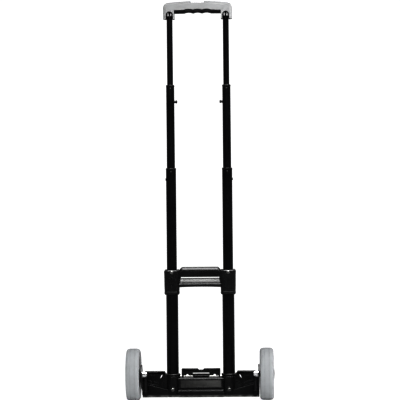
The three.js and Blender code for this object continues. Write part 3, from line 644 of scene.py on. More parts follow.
def ring_collar(node, tube, next_tube, body):
    """The moulded plug in a section's mouth: a rounded rim, a bush inside the tube and a snap nub."""
    lo, hi, mid = extent(node)
    outer = radius(node) / MM
    plug = radius(tube) / MM - 1.1
    guide = radius(next_tube) / MM + 0.3
    seat = high(tube).z / MM + 0.1
    foot, top = lo.z / MM, hi.z / MM
    wall = mm([
        (guide, foot + 0.4), (guide + 0.4, foot), (plug - 0.4, foot), (plug, foot + 0.6), (plug, seat),
        (outer - 0.3, seat), (outer, seat + 0.3), (outer, seat + 1.5), (outer - 0.3, seat + 1.7),
        (outer - 0.3, seat + 2.1), (outer, seat + 2.3), (outer, top - 1.2), (outer - 0.3, top - 0.5),
        (outer - 0.9, top - 0.1), (outer - 1.4, top), (guide + 0.6, top), (guide, top - 0.6),
    ])
    root = (guide + plug) / 2
    reach = -lo.y / MM - root
    nub = mm([(0, 0), (2.4, 0), (2.4, reach - 0.6), (2.0, reach - 0.25), (1.2, reach - 0.05), (0, reach)])
    shells = [
        turned(wall, (mid.x, 0, 0), "z", 96),
        turned(nub, (mid.x, -root * MM, hi.z - 10 * MM), "-y", 28),
    ]
    piece_from(node + "_skin", shells, body, "black_plastic", node)


def rivet(node, body, axis_word):
    """A low domed stop rivet."""
    lo, hi, mid = extent(node)
    seat = lo.x if axis_word == "x" else hi.x
    height = (hi.x - lo.x) / MM
    head = radius(node, 2) / MM
    wall, rise = height - 1.7, 1.1
    profile = mm([(0, 0), (2.0, 0), (2.0, wall), (head, wall)] + dome(head, height - rise, rise, 6))
    skin = turned(profile, (seat, 0, mid.z), axis_word, 40)
    piece_from(node + "_skin", skin, body, "black_plastic", node)


def peg(node, body, axis_word):
    """A waisted cord peg with a mushroom head."""
    lo, hi, mid = extent(node)
    seat = lo.x if axis_word == "x" else hi.x
    height = (hi.x - lo.x) / MM
    head = radius(node, 2) / MM
    wall = height - 7.3
    profile = mm([
        (0, 0), (2.0, 0), (2.0, wall), (3.4, wall), (3.4, wall + 0.6), (3.1, wall + 1.3), (2.95, wall + 2.0),
        (2.95, wall + 3.8), (3.2, wall + 4.5), (head - 0.3, wall + 5.0), (head, wall + 5.4),
        (head, wall + 6.2), (head - 0.5, wall + 6.9), (head - 1.4, height), (0, height),
    ])
    skin = turned(profile, (seat, 0, mid.z), axis_word, 40)
    piece_from(node + "_skin", skin, body, "black_plastic", node)


def telescoping_sections():
    for word, side in SIDES:
        outward, inward = ("x", "-x") if side > 0 else ("-x", "x")
        lower, mid, upper, top = (f"{name}_tube_{word}" for name in ("lower", "middle", "upper", "top"))
        section_tube(lower, "frame")
        section_tube(mid, f"middle_section_{word}")
        section_tube(upper, f"upper_section_{word}")
        top_tube(top)
        ring_collar(f"middle_collar_{word}", mid, upper, f"middle_section_{word}")
        ring_collar(f"upper_collar_{word}", upper, top, f"upper_section_{word}")
        rivet(f"stop_rivet_{word}", f"middle_section_{word}", outward)
        peg(f"cord_peg_{word}", f"upper_section_{word}", inward)


# ---- grip ---------------------------------------------------------------------------------------
def arch(x, half, z0, top, count=16):
    return [(x - half, z0), (x + half, z0)] + arc(x, top - half, half, 0, 180, count)


def finger_curve(half, end_z, cusp_z, rise, steps=14):
    """A wavy edge from -half to half: a flat stretch at each end and three finger arches between."""
    points = [(-half, end_z), (-half + 9 * MM, end_z)]
    for i in range(3):
        start = (i - 1.5) * FINGER_PITCH
        for k in range(steps):
            t = k / steps
            points.append((start + FINGER_PITCH * t, cusp_z + 4 * rise * t * (1 - t)))
    points.append((1.5 * FINGER_PITCH, cusp_z))
    points += [(half - 9 * MM, end_z), (half, end_z)]
    return points


def grip_crown(x, half, corner):
    """Height of the grip's top edge below its highest point."""
    flat = half - corner
    return CROWN * min(1.0, abs(x) / flat) ** 2


def grip():
    """The handle's shell: crowned on top, finger arches below, a button well and a leg over each tube."""
    lo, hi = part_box("grip_body")
    leg = low("grip_ferrule_left").z
    half, depth, crown = hi.x, hi.y, hi.z
    inner = high("finger_insert").x + 0.2 * MM
    corner = 13 * MM
    shoulder = crown - CROWN
    outline = [(-inner, lo.z)]
    outline += finger_curve(inner, FINGER_TOP + 0.1 * MM, FINGER_TOP + 0.9 * MM, 2.1 * MM)
    outline += [(inner, lo.z), (half, lo.z)]
    outline += arc(half - corner, shoulder - corner, corner, 0, 90, 14)
    for k in range(1, 32):
        x = (half - corner) * (1 - k / 16)
        outline.append((x, crown - grip_crown(x, half, corner)))
    outline += arc(-half + corner, shoulder - corner, corner, 90, 180, 14)
    outline.append((-half, lo.z))
    body = prism(outline, -depth, depth, "xz")
    rings = []
    for i in range(-20, 21):
        # The rounded cross-section follows the crown.
        x = (half + 5 * MM) * i / 20
        top = crown + 0.4 * MM - grip_crown(x, half, corner)
        rings.append([(x, u, v) for u, v in rounded(-depth, depth, lo.z - 20 * MM, top, 9 * MM, 14)])
    plan = rounded(-half, half, -depth, depth, 8 * MM, 10)
    body = carve(body, [loft(rings)], "INTERSECT")
    body = carve(body, [prism(plan, lo.z - 0.01, crown + 0.01, "xy")], "INTERSECT")
    button_hi = high("release_button")
    bx, by = button_hi.x + 0.3 * MM, button_hi.y + 0.3 * MM
    floor, above = RECESS_FLOOR / MM, RECESS_FLOOR / MM + 11
    recess = mm([(-15.6, floor), (15.6, floor), (18.6, above), (-18.6, above)])
    tools = [
        prism(mm(rounded(-77, 77, -5, 5, 1, 2)), 963.9 * MM, 974.5 * MM, "xy"),
        prism(rounded(-bx, bx, -by, by, 3.2 * MM, 6), 969.6 * MM, crown + 0.01, "xy"),
        prism(smooth_outline(recess, 1.2 * MM), -0.02, 0.02, "xz"),
    ]
    tube_top = high("top_tube_right").z + 0.1 * MM
    fit = radius("top_tube_right") + 0.15 * MM
    for side in (-1, 1):
        x = side * middle("top_tube_right").x
        tools.append(cylinder(fit, leg - 0.01, tube_top, (x, 0, 0)))
        window = arch(x, radius("grip_ferrule_right") + 0.1 * MM, leg - 0.01, tube_top - 0.1 * MM)
        tools.append(prism(window, -0.03, 0.03, "xz"))
        # A fine parting groove runs down the outer face of each leg.
        near, far = span(side, half / MM, half / MM - 0.4)
        tools.append(block((near, -0.25 * MM, leg - 0.01), (far, 0.25 * MM, crown)))
    body = carve(body, tools)
    piece_from("grip_shell", body, "handle", "grip_grey", "grip_body", 34, 0.5 * MM)


def grip_insert():
    """The soft finger strip under the grip, hollow along its middle."""
    lo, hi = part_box("finger_insert")
    upper = finger_curve(hi.x, FINGER_TOP, FINGER_TOP + 0.8 * MM, 2.1 * MM)
    lower = finger_curve(hi.x, lo.z + 0.1 * MM, lo.z + 0.2 * MM, 2.6 * MM)
    outline = upper + list(reversed(lower))
    section = rounded(-hi.y, hi.y, lo.z, hi.z + 20 * MM, 3.6 * MM, 8)
    body = prism(outline, -hi.y, hi.y, "xz")
    body = carve(body, [prism(section, -hi.x - 0.01, hi.x + 0.01, "yz")], "INTERSECT")
    tools = [block((-34 * MM, -5.5 * MM, FINGER_TOP + 1.8 * MM), (34 * MM, 5.5 * MM, 980 * MM))]
    for i in range(4):
        # A fine line on each cusp between two fingers.
        x = (i - 1.5) * FINGER_PITCH
        tools.append(block((x - 0.25 * MM, -0.03, lo.z - 0.01), (x + 0.25 * MM, 0.03, lo.z + 0.45 * MM)))
    body = carve(body, tools)
    piece_from("finger_grooves", body, "handle", "soft_black", "finger_insert", 40, 0.3 * MM)


def grip_ferrules():
    """The black liners of the arched openings in the grip's legs."""
    fit = radius("top_tube_right") + 0.15 * MM
    for word, _ in SIDES:
        node = f"grip_ferrule_{word}"
        lo, hi, mid = extent(node)
        body = prism(arch(mid.x, radius(node), lo.z, hi.z), lo.y, hi.y, "xz")
        ends = lo.z - 0.01, hi.z + 0.01
        bore = cylinder(fit, *ends, (mid.x, 0, 0))
        window = prism(arch(mid.x, 6.7 * MM, ends[0], hi.z - 2.3 * MM), -0.03, 0.03, "xz")
        body = carve(body, [bore, window])
        piece_from(node + "_liner", body, "handle", "black_plastic", node, 34, 0.4 * MM)


def release_button():
    """A rounded cap with a dished top and three thumb ribs, on a stem."""
    lo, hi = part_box("release_button")
    skirt = hi.z - lo.z - 2.6 * MM
    # Inset, depth below the top and corner radius of each ring, in millimetres.
    levels = [
        (0.0, skirt / MM, 3), (0.0, 1.4, 3), (0.35, 0.5, 3), (1.1, 0.1, 3), (1.9, 0.0, 3),
        (2.6, 0.25, 2.2), (3.8, 0.7, 2.2), (5.2, 0.95, 2.2),
    ]
    rings = []
    for inset, depth, corner in levels:
        i = inset * MM
        outline = rounded(lo.x + i, hi.x - i, lo.y + i, hi.y - i, corner * MM, 8)
        rings.append([(u, v, hi.z - depth * MM) for u, v in outline])
    shells = [loft(rings), block((-6 * MM, -4 * MM, lo.z), (6 * MM, 4 * MM, lo.z + 3 * MM), 0.3 * MM)]
    for x in (-4 * MM, 0, 4 * MM):
        corner = (x - 0.5 * MM, -2 * MM, hi.z - 1.1 * MM)
        shells.append(block(corner, (x + 0.5 * MM, 2 * MM, hi.z - 0.45 * MM), 0.2 * MM))
    piece_from("release_button_cap", shells, "release", "button_pale", "release_button", 30)


# ---- carry bracket ------------------------------------------------------------------------------
def sleeve_shell(side):
    """One sleeve of the bracket, with a stepped foot, a waist and a chamfered mouth."""
    x = side * middle("lower_tube_right").x
    lo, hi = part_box("carry_bracket")
    half = hi.x - middle("lower_tube_right").x
    foot, rim = lo.z, SLEEVE_RIM
    steps = [
        (15.4, 0.3), (16.0, 0.0), (17.4, 1.0), (18.2, 2.6), (18.6, 4.0), (18.6, 6.2), (18.1, 6.8),
        (18.1, 8.4), (18.5, 20.0), (18.6, 40.0), (18.8, 50.0), (19.0, 54.0), (19.0, 58.9), (18.6, 59.6),
        (17.2, 61.0),
    ]
    rings = []
    for size, height in steps:
        s = min(size * MM, half)
        corner = min(11.0 * MM, s * 0.6)
        rings.append([(x + u, v, foot + height * MM) for u, v in rounded(-s, s, -s, s, corner, 10)])
    tools = []
    stop = high("lower_tube_right").z + 0.1 * MM
    for tube, gap, z0, z1 in (("lower", 0.1, foot - 0.01, stop), ("middle", 0.3, foot, rim + 0.01)):
        r = radius(f"{tube}_tube_right") + gap * MM
        tools.append(cylinder(r, z0, z1, (x, 0, 0), "z", 96))
    shells = [carve(loft(rings), tools)]
    for offset in (-10, -5, 0, 5, 10):
        # Raised ribs up the rear and front faces.
        for y in (-1, 1):
            y0, y1 = span(y, 17.6, SLEEVE_FACE / MM)
            corner = (x + (offset - 0.8) * MM, y0, foot + 10 * MM)
            other = (x + (offset + 0.8) * MM, y1, foot + (44 - abs(offset) * 0.6) * MM)
            shells.append(block(corner, other, 0.6 * MM))
    for y in (-1, 1):
        y0, y1 = span(y, 16.5, SLEEVE_FACE / MM)
        corner = (x - 13 * MM, y0, foot + 5.6 * MM)
        shells.append(block(corner, (x + 13 * MM, y1, foot + 7.6 * MM), 0.7 * MM))
    # The outer lips of the mouth stand a little higher than its middle.
    for lip in (-1, 1):
        near, far = sorted((x + lip * 12.6 * MM, x + lip * 17.4 * MM))
        shells.append(block((near, -10 * MM, rim - 3 * MM), (far, 10 * MM, rim + 1.6 * MM), 1.1 * MM, 4))
    # A V-shaped pad below the screw.
    pad = [(x + u, rim + v) for u, v in mm([(-6.5, -9), (6.5, -9), (1.5, -17), (-1.5, -17)])]
    pad = smooth_outline(pad, 1.5 * MM)
    shells.append(prism(pad, -SLEEVE_FACE, -17.4 * MM, "xz", (), 0.5 * MM))
    return shells


def bar_sections(reach, count, section_at):
    """A bar along X, skinned over cross-sections in millimetres that vary with their place on it."""
    rings = []
    for i in range(count + 1):
        x = reach * (2 * i / count - 1)
        rings.append([(x * MM, u, v) for u, v in mm(section_at(x / reach, x))])
    return loft(rings)


def bracket_bars():
    """The two bars between the sleeves, above and below the opening for the rod."""
    reach, inset = 54, 9
    foot, roof, peak = OPENING_FOOT / MM, OPENING_TOP / MM, high("carry_bracket").z / MM

    def upper_section(t, x):
        """Rounded on top, upright at the rear and the front, and stepped in above the rod."""
        top = peak - 10.5 * max(0.0, (abs(x) - 44) / 10) ** 1.4
        swell = 14.4 + math.sqrt(1 - abs(t))
        right = [
            (inset, roof), (inset, roof + 1.2), (swell - 0.8, roof + 1.5), (swell, roof + 2.6),
            (swell, min(top - 8, 309)),
        ]
        right += arc(swell - 10, top - 9, 9.4, 8, 82, 9)
        return right + [(-u, v) for u, v in reversed(right)]

    def lower_section(t, x):
        lift = 1.2 * (1 - t * t)
        right = [
            (inset, foot), (10.6, foot - 0.5), (11.6, foot - 1.9), (11.8, 274.2 + lift), (11, 272.6 + lift),
        ]
        return list(reversed(right + [(-u, v) for u, v in reversed(right)]))

    shells = [bar_sections(reach, 44, upper_section), bar_sections(reach, 32, lower_section)]
    # Cheeks that close the slanted ends of the opening.
    cheek = [(48.4, 298), (55, 298), (55, 280), (51.6, 280), (49.6, 286), (48.4, 291)]
    for side in (-1, 1):
        outline = mm([(side * u, v) for u, v in cheek])
        for y0, y1 in ((-9.4, -7.3), (7.3, 9.4)):
            shells.append(prism(outline, y0 * MM, y1 * MM, "xz", (), 0.5 * MM, 2))
    return shells


def carry_bracket():
    """The black moulding on the lower tubes, and the satin rod in it."""
    shells = sleeve_shell(-1) + sleeve_shell(1) + bracket_bars()
    piece_from("carry_bracket_moulding", shells, "frame", "black_plastic", "carry_bracket", 32)
    end, r = high("carry_rod").x / MM, radius("carry_rod", 1) / MM
    groove = r - 0.25
    half = [(r, 44.5), (groove, 44.9), (groove, 45.6), (r, 46), (r, end - 0.8), (r - 0.8, end), (0, end)]
    profile = mm([(u, -v) for u, v in reversed(half)] + half)
    rod = turned(profile, (0, 0, middle("carry_rod").z), "x", 96)
    piece_from("carry_rod_bar", rod, "frame", "chrome", "carry_rod", 32, 0.0, SATIN_ROD)


# ---- screws, pins and nuts ----------------------------------------------------------------------
def pan_screw(node, slot):
    """A pan-head machine screw with a cross recess."""
    lo, hi, mid = extent(node)
    head = radius(node) / MM
    seat = lo.y + 2.4 * MM
    reach = (hi.y - seat) / MM
    profile = [
        (0, -reach), (1.6, -reach), (2.0, 0.5 - reach), (2.0, 0), (head - 0.3, 0), (head, 0.3), (head, 0.9),
    ]
    for k in range(1, 8):
        angle = math.radians(k * 90 / 8)
        profile.append((head * (0.35 + 0.65 * math.cos(angle)), 0.9 + 1.45 * math.sin(angle)))
    profile.append((0, 2.4))
    body_mesh = turned(mm(profile), (0, 0, 0), "z", 48)
    slots = mm([(head * 0.55, head * 0.13), (head * 0.13, head * 0.55)])
    recess = [block((-a, -b, 1.1 * MM), (a, b, 4 * MM)) for a, b in slots]
    body_mesh = carve(body_mesh, recess)
    place(body_mesh, AXES["-y"] @ Matrix.Rotation(math.radians(20), 3, "Z"), (mid.x, seat, mid.z))
    piece_from(node + "_head", body_mesh, "frame", slot, node, 34, material=SCREW_STEEL)


def hinge_pin(node):
    """A plain pin along X with chamfered ends."""
    mid, r = middle(node), radius(node, 1)
    a, b = low(node).x, high(node).x
    profile = [(0, a), (r - 0.5 * MM, a), (r, a + 0.5 * MM), (r, b - 0.5 * MM), (r - 0.5 * MM, b), (0, b)]
    piece_from(node + "_shaft", turned(profile, (0, mid.y, mid.z), "x", 40), "frame", "steel", node)


def headed_pin(node):
    """An upright pin with a domed head."""
    lo, hi, mid = extent(node)
    foot, top = lo.z / MM, hi.z / MM
    head, rise = radius(node) / MM, 1.5
    profile = [(0, foot), (2.1, foot), (2.5, foot + 0.5), (2.5, top - 2.4), (head, top - 2.4)]
    profile += dome(head, top - rise, rise, 6)
    piece_from(node + "_shaft", turned(mm(profile), (mid.x, mid.y, 0), "z", 40), "frame", "steel", node)


# ---- base ---------------------------------------------------------------------------------------
def wing_shells(side):
    """One wing of the base: a thin rear wall, a thick foot, a gusset, cell walls, ribs and hinge lugs."""
    half = high("base_housing").x / MM

    def plate(outline, y0, y1, holes=(), edge=0.7):
        shape = mm([(side * u, v) for u, v in outline])
        return prism(shape, y0 * MM, y1 * MM, "xz", holes, edge * MM)

    def bar(x0, x1, z0, z1, y0, y1, edge):
        return plate([(x0, z0), (x1, z0), (x1, z1), (x0, z1)], y0, y1, (), edge)

    leaf = [(95.4, 55.8), (98.8, 53.6), (101.8, 45.6), (99.4, 46.8), (96.2, 51.0)]
    leaf = smooth_outline(mm([(side * u, v) for u, v in leaf]), 0.8 * MM, 3)
    foot = [(80, 0), (half, 0), (half, 35), (86, 19), (80, 19)]
    gusset = [(84, 16), (106, 24), (103, 34), (88.5, 55), (84, 55)]
    shells = [
        plate([(84, 0), (half, 0), (half, 62.5), (92, 62.5), (88.5, 56), (84, 54)], -8, -4, [leaf]),
        bar(84, half, 0, 14, -8, 14, 0.7),
        plate(smooth_outline(foot, 1.2), -15, -5, (), 0.9),
        plate(smooth_outline(gusset, 1.0), -12, -5, (), 0.9),
        plate([(86, 57), (half, 57), (half, 62.5), (91, 62.5), (88.5, 57)], -8, 14, (), 0.8),
    ]
    # The wing is hollow at the front, with upright walls between the cells.
    for x0, x1, top in ((84, 94, 54), (102, 107, 60), (123, 126, 60), (141.5, half, 60)):
        shells.append(bar(x0, x1, 2, top, -6, 14, 0.6))
    # Raised border and two diagonal ribs on the rear of the wing.
    shells.append(bar(106, half - 1, 59.4, 61.6, -9, -7, 0.5))
    for z in (25.6, 33.1):
        rib = [(104, z), (140, z + 10.2), (140, z + 11.8), (104, z + 1.6)]
        shells.append(plate(rib, -9.2, -7, (), 0.5))
    # Hinge lugs of the wheel bracket.
    swing = middle("swing_pin_right")
    lug = mm([(131, -6)] + arc(138, swing.y / MM, 7, 180, 360, 16) + [(144.5, -6)])
    for z0, z1 in ((8, 16.2), (49.8, 58)):
        hole = circle(side * swing.x, swing.y, 2.7 * MM, 24)
        shells.append(prism([(side * u, v) for u, v in lug], z0 * MM, z1 * MM, "xy", [hole], 0.5 * MM))
    return shells


def socket_shells(side):
    """The round socket of a lower tube, with its floor, its screw boss and four ribs."""
    x = side * middle("lower_tube_right").x
    top, r = SOCKET_TOP / MM, 18.8
    bore = radius("lower_tube_right") / MM + 0.12
    wall = mm([
        (bore, 6), (bore, top - 0.6), (bore + 0.6, top), (r - 2.6, top), (r - 1.2, top - 0.4),
        (r - 0.4, top - 1.2), (r, top - 2.6), (r, top - 4.6), (r - 0.6, top - 5.2), (r - 0.6, top - 6.8),
        (r, top - 7.4), (r, 5.5), (r - 0.5, 3.6), (r - 1.6, 1.8), (r - 3.0, 0.6), (bore, 0.05),
    ])
    boss = mm([(0, 14), (7.4, 14), (7.2, 19.0), (6.7, 19.6), (2.4, 19.6), (2.4, 15), (0, 15)])
    shells = [
        turned(wall, (x, 0, 0), "z", 96),
        cylinder((bore + 0.3) * MM, 1 * MM, 7.9 * MM, (x, 0, 0)),
        turned(boss, (x, 0, 18.5 * MM), "-y", 40),
    ]
    for angle in (-52, -30, 30, 52):
        # Upright ribs on the rear of the socket.
        turn = math.radians(angle)
        cx, cy = x + r * MM * math.sin(turn), -r * MM * math.cos(turn)
        corner = (cx - 0.8 * MM, cy - 0.8 * MM, 12 * MM)
        shells.append(block(corner, (cx + 0.8 * MM, cy + 2 * MM, 46 * MM), 0.5 * MM))
    return shells


def centre_shells():
    """The beam between the sockets, with a framed sloping panel and a kerb on its ledge."""
    section = mm([
        (22, 0), (22, 12), (16, 20), (16, 47), (-12.5, 47), (-14, 45.6), (-16.4, 21.5), (-15, 19.8),
        (-15, 17.6), (-18.4, 15.6), (-19, 3), (-18, 0),
    ])
    shells = [prism(smooth_outline(section, 0.8 * MM, 3), -56 * MM, 56 * MM, "yz")]
    for z0, z1, y in ((42.6, 44.2, -15.3), (23.4, 24.6, -17.0)):
        shells.append(block((-50.5 * MM, y * MM, z0 * MM), (50.5 * MM, -12 * MM, z1 * MM), 0.4 * MM))
    for x in (-50, 49):
        shells.append(block((x * MM, -16.6 * MM, 23.4 * MM), ((x + 1) * MM, -12 * MM, 44.2 * MM), 0.4 * MM))
    shells.append(block((-51 * MM, -12.4 * MM, 46.6 * MM), (51 * MM, -9.6 * MM, 48.2 * MM), 0.6 * MM))
    return shells


def lip_shells():
    """The foot of the base along its whole width, with the lugs of the toe plate's hinge."""
    half = high("base_housing").x
    section = mm([(-14.5, 0), (-14.5, 12), (22, 12), (22, 0)])
    shells = [prism(smooth_outline(section, 1.2 * MM, 4), -half, half, "yz")]
    for side in (-1, 1):
        for lug in (44, 122):
            x = side * lug * MM
            ear = mm([(21, 3)] + arc(28, 8, 5, -90, 90, 14) + [(21, 13)])
            hole = mm(circle(28, 8, 2.7, 24))
            shells.append(prism(ear, x - 5 * MM, x + 5 * MM, "yz", [hole], 0.5 * MM))
    return shells


def base():
    """The base housing, one black moulding."""
    shells = centre_shells() + lip_shells()
    for side in (-1, 1):
        shells += wing_shells(side) + socket_shells(side)
    piece_from("base_moulding", shells, "frame", "black_plastic", "base_housing", 32, 0.0, BASE_WITH_PANEL_SHEEN)


def latch():
    """The flap between the sockets: notched on top, slotted, and hung on its pin by three barrels."""
    half, top = high("latch").x / MM, high("latch").z / MM
    pin = middle("latch_pin")
    line = pin.z / MM
    knuckle, end, under = 20, 44, line + 2.2
    outline = mm([
        (-half, line), (-end, line), (-end, under), (-knuckle, under), (-knuckle, line), (knuckle, line),
        (knuckle, under), (end, under), (end, line), (half, line), (half, top), (8, top), (5, top - 4),
        (-5, top - 4), (-8, top), (-half, top),
    ])
    plate = prism(smooth_outline(outline, 1.3 * MM, 4), pin.y - 2.5 * MM, pin.y + 2.5 * MM, "xz")
    slot = mm(rounded(-21, 21, 56, 58.6, 1.2, 5))
    tools = [prism(slot, pin.y - 0.01, pin.y + 0.01, "xz")]
    for side in (-1, 1):
        cut = circle(side * 34 * MM, pin.z + 1.6 * MM, 3.6 * MM, 36)
        tools.append(prism(cut, pin.y - 0.02, pin.y + 0.02, "xz"))
    plate = carve(plate, tools)
    bore = 1.9
    for x0, x1 in ((-half, -end), (-knuckle, knuckle), (end, half)):
        barrel = mm([(bore, x0), (2.7, x0), (3.05, x0 + 0.4), (3.05, x1 - 0.4), (2.7, x1), (bore, x1)])
        plate = carve(plate, [turned(barrel, (0, pin.y, pin.z), "x", 48)], "UNION")
    plate = carve(plate, [cylinder(bore * MM, -0.1, 0.1, (0, pin.y, pin.z), "x", 32)])
    corner = (-40 * MM, pin.y - 5.5 * MM, 66.5 * MM)
    lip = block(corner, (40 * MM, pin.y - 1 * MM, (top - 0.5) * MM), 0.8 * MM)
    lip = carve(lip, [block((-6.5 * MM, -0.02, 0.05), (6.5 * MM, pin.y + 5 * MM, 0.1))])
    tongue = block((-10 * MM, pin.y + 1 * MM, 60 * MM), (10 * MM, 26 * MM, 64 * MM), 0.8 * MM)
    shells = [plate, lip, tongue]
    for x in (-42, -26, 26, 42):
        # Stiffening ribs on the front of the flap.
        corner = ((x - 0.7) * MM, pin.y + 2.2 * MM, 54.5 * MM)
        shells.append(block(corner, ((x + 0.7) * MM, pin.y + 3.6 * MM, 66 * MM), 0.4 * MM))
    piece_from("latch_flap_moulding", shells, "latch_flap", "black_plastic", "latch", 34, 0.3 * MM)


# ---- toe plate ----------------------------------------------------------------------------------
def toe_plate():
    """A flat load plate with a skirt, a hand hole, a latch slot, stiffening ribs below and knuckles."""
    lo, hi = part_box("toe_plate")
    pin = middle("toe_hinge_pin")
    rear, bottom, top = pin.y + 7 * MM, lo.z, hi.z

    def plan(inset):
        half, front, corner = hi.x - inset, hi.y - inset, 26 * MM - inset
        outline = [(-half, rear + inset), (half, rear + inset)]
        outline += arc(half - corner, front - corner, corner, 0, 90, 16)
        return outline + arc(-half + corner, front - corner, corner, 90, 180, 16)

    def rib(x0, x1, y0, y1):
        corner = (x0 * MM, y0 * MM, bottom + 0.8 * MM)
        return block(corner, (x1 * MM, y1 * MM, top - 1.5 * MM), 0.4 * MM)

    hand = mm(rounded(-38, 38, 212, 228, 7.9, 10))
    hand_rim = mm(rounded(-41, 41, 209, 231, 10.9, 10))
    latch_slot = rounded(-13 * MM, 13 * MM, pin.y + 49 * MM, pin.y + 59 * MM, 1.5 * MM, 4)
    shells = [
        prism(plan(0), top - 3 * MM, top, "xy", [hand, latch_slot], 0.8 * MM),
        prism(plan(0), bottom, top - 1.2 * MM, "xy", [plan(3.5 * MM)], 0.7 * MM),
        prism(hand_rim, bottom, top - 1.5 * MM, "xy", [hand], 0.5 * MM),
    ]
    # Ribs from rear to front, the middle one broken by the latch slot, and ribs across.
    start, half = rear / MM + 2, hi.x / MM - 2
    for x, y0, y1 in ((-71.5, start, 228), (0, start, 76), (0, 88, 210), (71.5, start, 228)):
        shells.append(rib(x - 1.3, x + 1.3, y0, y1))
    for y in (93.5, 149.5, 203.5):
        shells.append(rib(-half, half, y - 1.3, y + 1.3))
    knuckle = arc(pin.y, pin.z, 5 * MM, 90, 270, 16)
    knuckle += [(pin.y + 9 * MM, pin.z - 5 * MM), (pin.y + 9 * MM, pin.z + 5 * MM)]
    hole = circle(pin.y, pin.z, 2.8 * MM, 24)
    for word, side in SIDES:
        foot = middle(f"toe_foot_{word}")
        socket = [(4.2, bottom / MM), (9, bottom / MM), (9, top / MM - 1.5), (4.2, top / MM - 1.5)]
        shells.append(turned(mm(socket), (foot.x, foot.y, 0), "z", 40))
        for x0, x1 in ((12, 38), (50, 90), (96, 116)):
            shells.append(prism(knuckle, *span(side, x0, x1), "yz", [hole], 0.4 * MM))
    piece_from("toe_plate_moulding", shells, "toe", "black_plastic", "toe_plate", 32)


def toe_foot(node):
    """A rubber foot with a hollow sole and a stem in the plate's socket."""
    mid = middle(node)
    profile = [
        (0, 0.3), (5.5, 0.3), (6, 0), (7.6, 0), (8.3, 0.6), (9, 2.4), (8.8, 2.9), (4, 2.9), (4, 5.6),
        (3.6, 6), (0, 6),
    ]
    foot = turned(mm(profile), (mid.x, mid.y, 0), "z", 48)
    piece_from(node + "_pad", foot, "toe", "soft_black", node)


# ---- wheels -------------------------------------------------------------------------------------
def tyre(word):
    """A solid tyre with a stepped side wall and a thin moulded line each side of its crown."""
    node = f"tyre_{word}"
    r, half, bead = radius(node, 2) / MM, radius(node, 0) / MM, 46.1
    side_wall = [
        (bead, 1.6 - half), (bead + 1.2, 0.7 - half), (bead + 3, 0.5 - half), (bead + 3.6, 1.3 - half),
        (bead + 4.4, 1.3 - half), (bead + 5, 0.4 - half), (r - 8, -half), (r - 5, 0.5 - half),
        (r - 2.6, 2.0 - half), (r - 1.1, 4.4 - half), (r - 0.4, 7.4 - half), (r - 0.15, 9.2 - half),
    ]
    lines = []
    for z in (-5.6, 5.6):
        lines += [(r - 0.08, z - 0.7), (r - 0.5, z - 0.35), (r - 0.5, z + 0.35), (r - 0.04, z + 0.7)]
    lines.insert(4, (r, 0))
    profile = mm(side_wall + lines + [(a, -b) for a, b in reversed(side_wall)])
    tread = turned(profile, middle(node), "x", 128)
    piece_from(node + "_tread", tread, f"wheel_{word}", "tyre_grey", node, 40)


def reach_of(node):
    """How far a node's inner and outer faces lie from the middle of the trolley."""
    return sorted((abs(low(node).x), abs(high(node).x)))


def hub(word, axis):
    """A cast hub: a rim, a web with five windows, a boss, a cup for the cap, and ribs."""
    node = f"wheel_hub_{word}"
    wheel = middle(f"tyre_{word}")
    inner = (reach_of(node)[0] - abs(wheel.x)) / MM
    rim, bore, edge = 45.95, 4.3, 15.4
    barrel = mm([
        (rim - 4.2, 0.6 - edge), (rim - 3.6, -edge), (rim - 0.5, -edge), (rim, 0.5 - edge),
        (rim, edge - 0.5), (rim - 0.5, edge), (rim - 3.6, edge), (rim - 4.2, edge - 0.6),
        (rim - 4.4, 2.8), (rim - 4.4, -5.8),
    ])
    boss = mm([(bore, inner), (12.4, inner), (13, inner + 0.6), (14.6, -5.5), (bore, -5.5)])
    cup = mm([
        (bore, 2), (24, 2), (23.2, 5), (22.2, 13.0), (21.6, 13.5), (20.4, 13.5), (20.1, 13.1), (20.1, 11.5),
        (bore, 11.5),
    ])
    # Radius and angle of each corner of a window.
    window = (
        (26.5, -0.36), (38.2, -0.44), (39.8, -0.2), (39.8, 0.2), (38.2, 0.44), (26.5, 0.36), (25.2, 0.0),
    )
    holes = [circle(0, 0, bore * MM, 40)]
    ribs = []
    for i in range(5):
        facing = math.radians(72 * i + 90)
        shape = [(r * math.cos(facing + a), r * math.sin(facing + a)) for r, a in window]
        holes.insert(i, smooth_outline(mm(shape), 3 * MM, 4))
        between_windows = Matrix.Rotation(math.radians(72 * i + 126), 4, "Z")
        for z0, z1 in ((-11.5, -5), (2, 9.5)):
            face = mm([(23, z0), (41.8, z0), (41.8, z1), (23, z1)])
            rib = prism(face, -1.3 * MM, 1.3 * MM, "xz", (), 0.5 * MM, 2)
            bmesh.ops.transform(rib, matrix=between_windows, verts=rib.verts)
            ribs.append(rib)
    web = prism(circle(0, 0, 42.2 * MM, 120), -5.9 * MM, 2.9 * MM, "xy", holes, 0.8 * MM, 2)
    origin = (0, 0, 0)
    rounds = [turned(boss, origin), turned(cup, origin, "z", 96)]
    shells = [turned(barrel, origin, "z", 128), web] + rounds + ribs
    for shell in shells:
        place(shell, AXES[axis], wheel)
    piece_from(node + "_casting", shells, f"wheel_{word}", "grip_grey", node, 32)


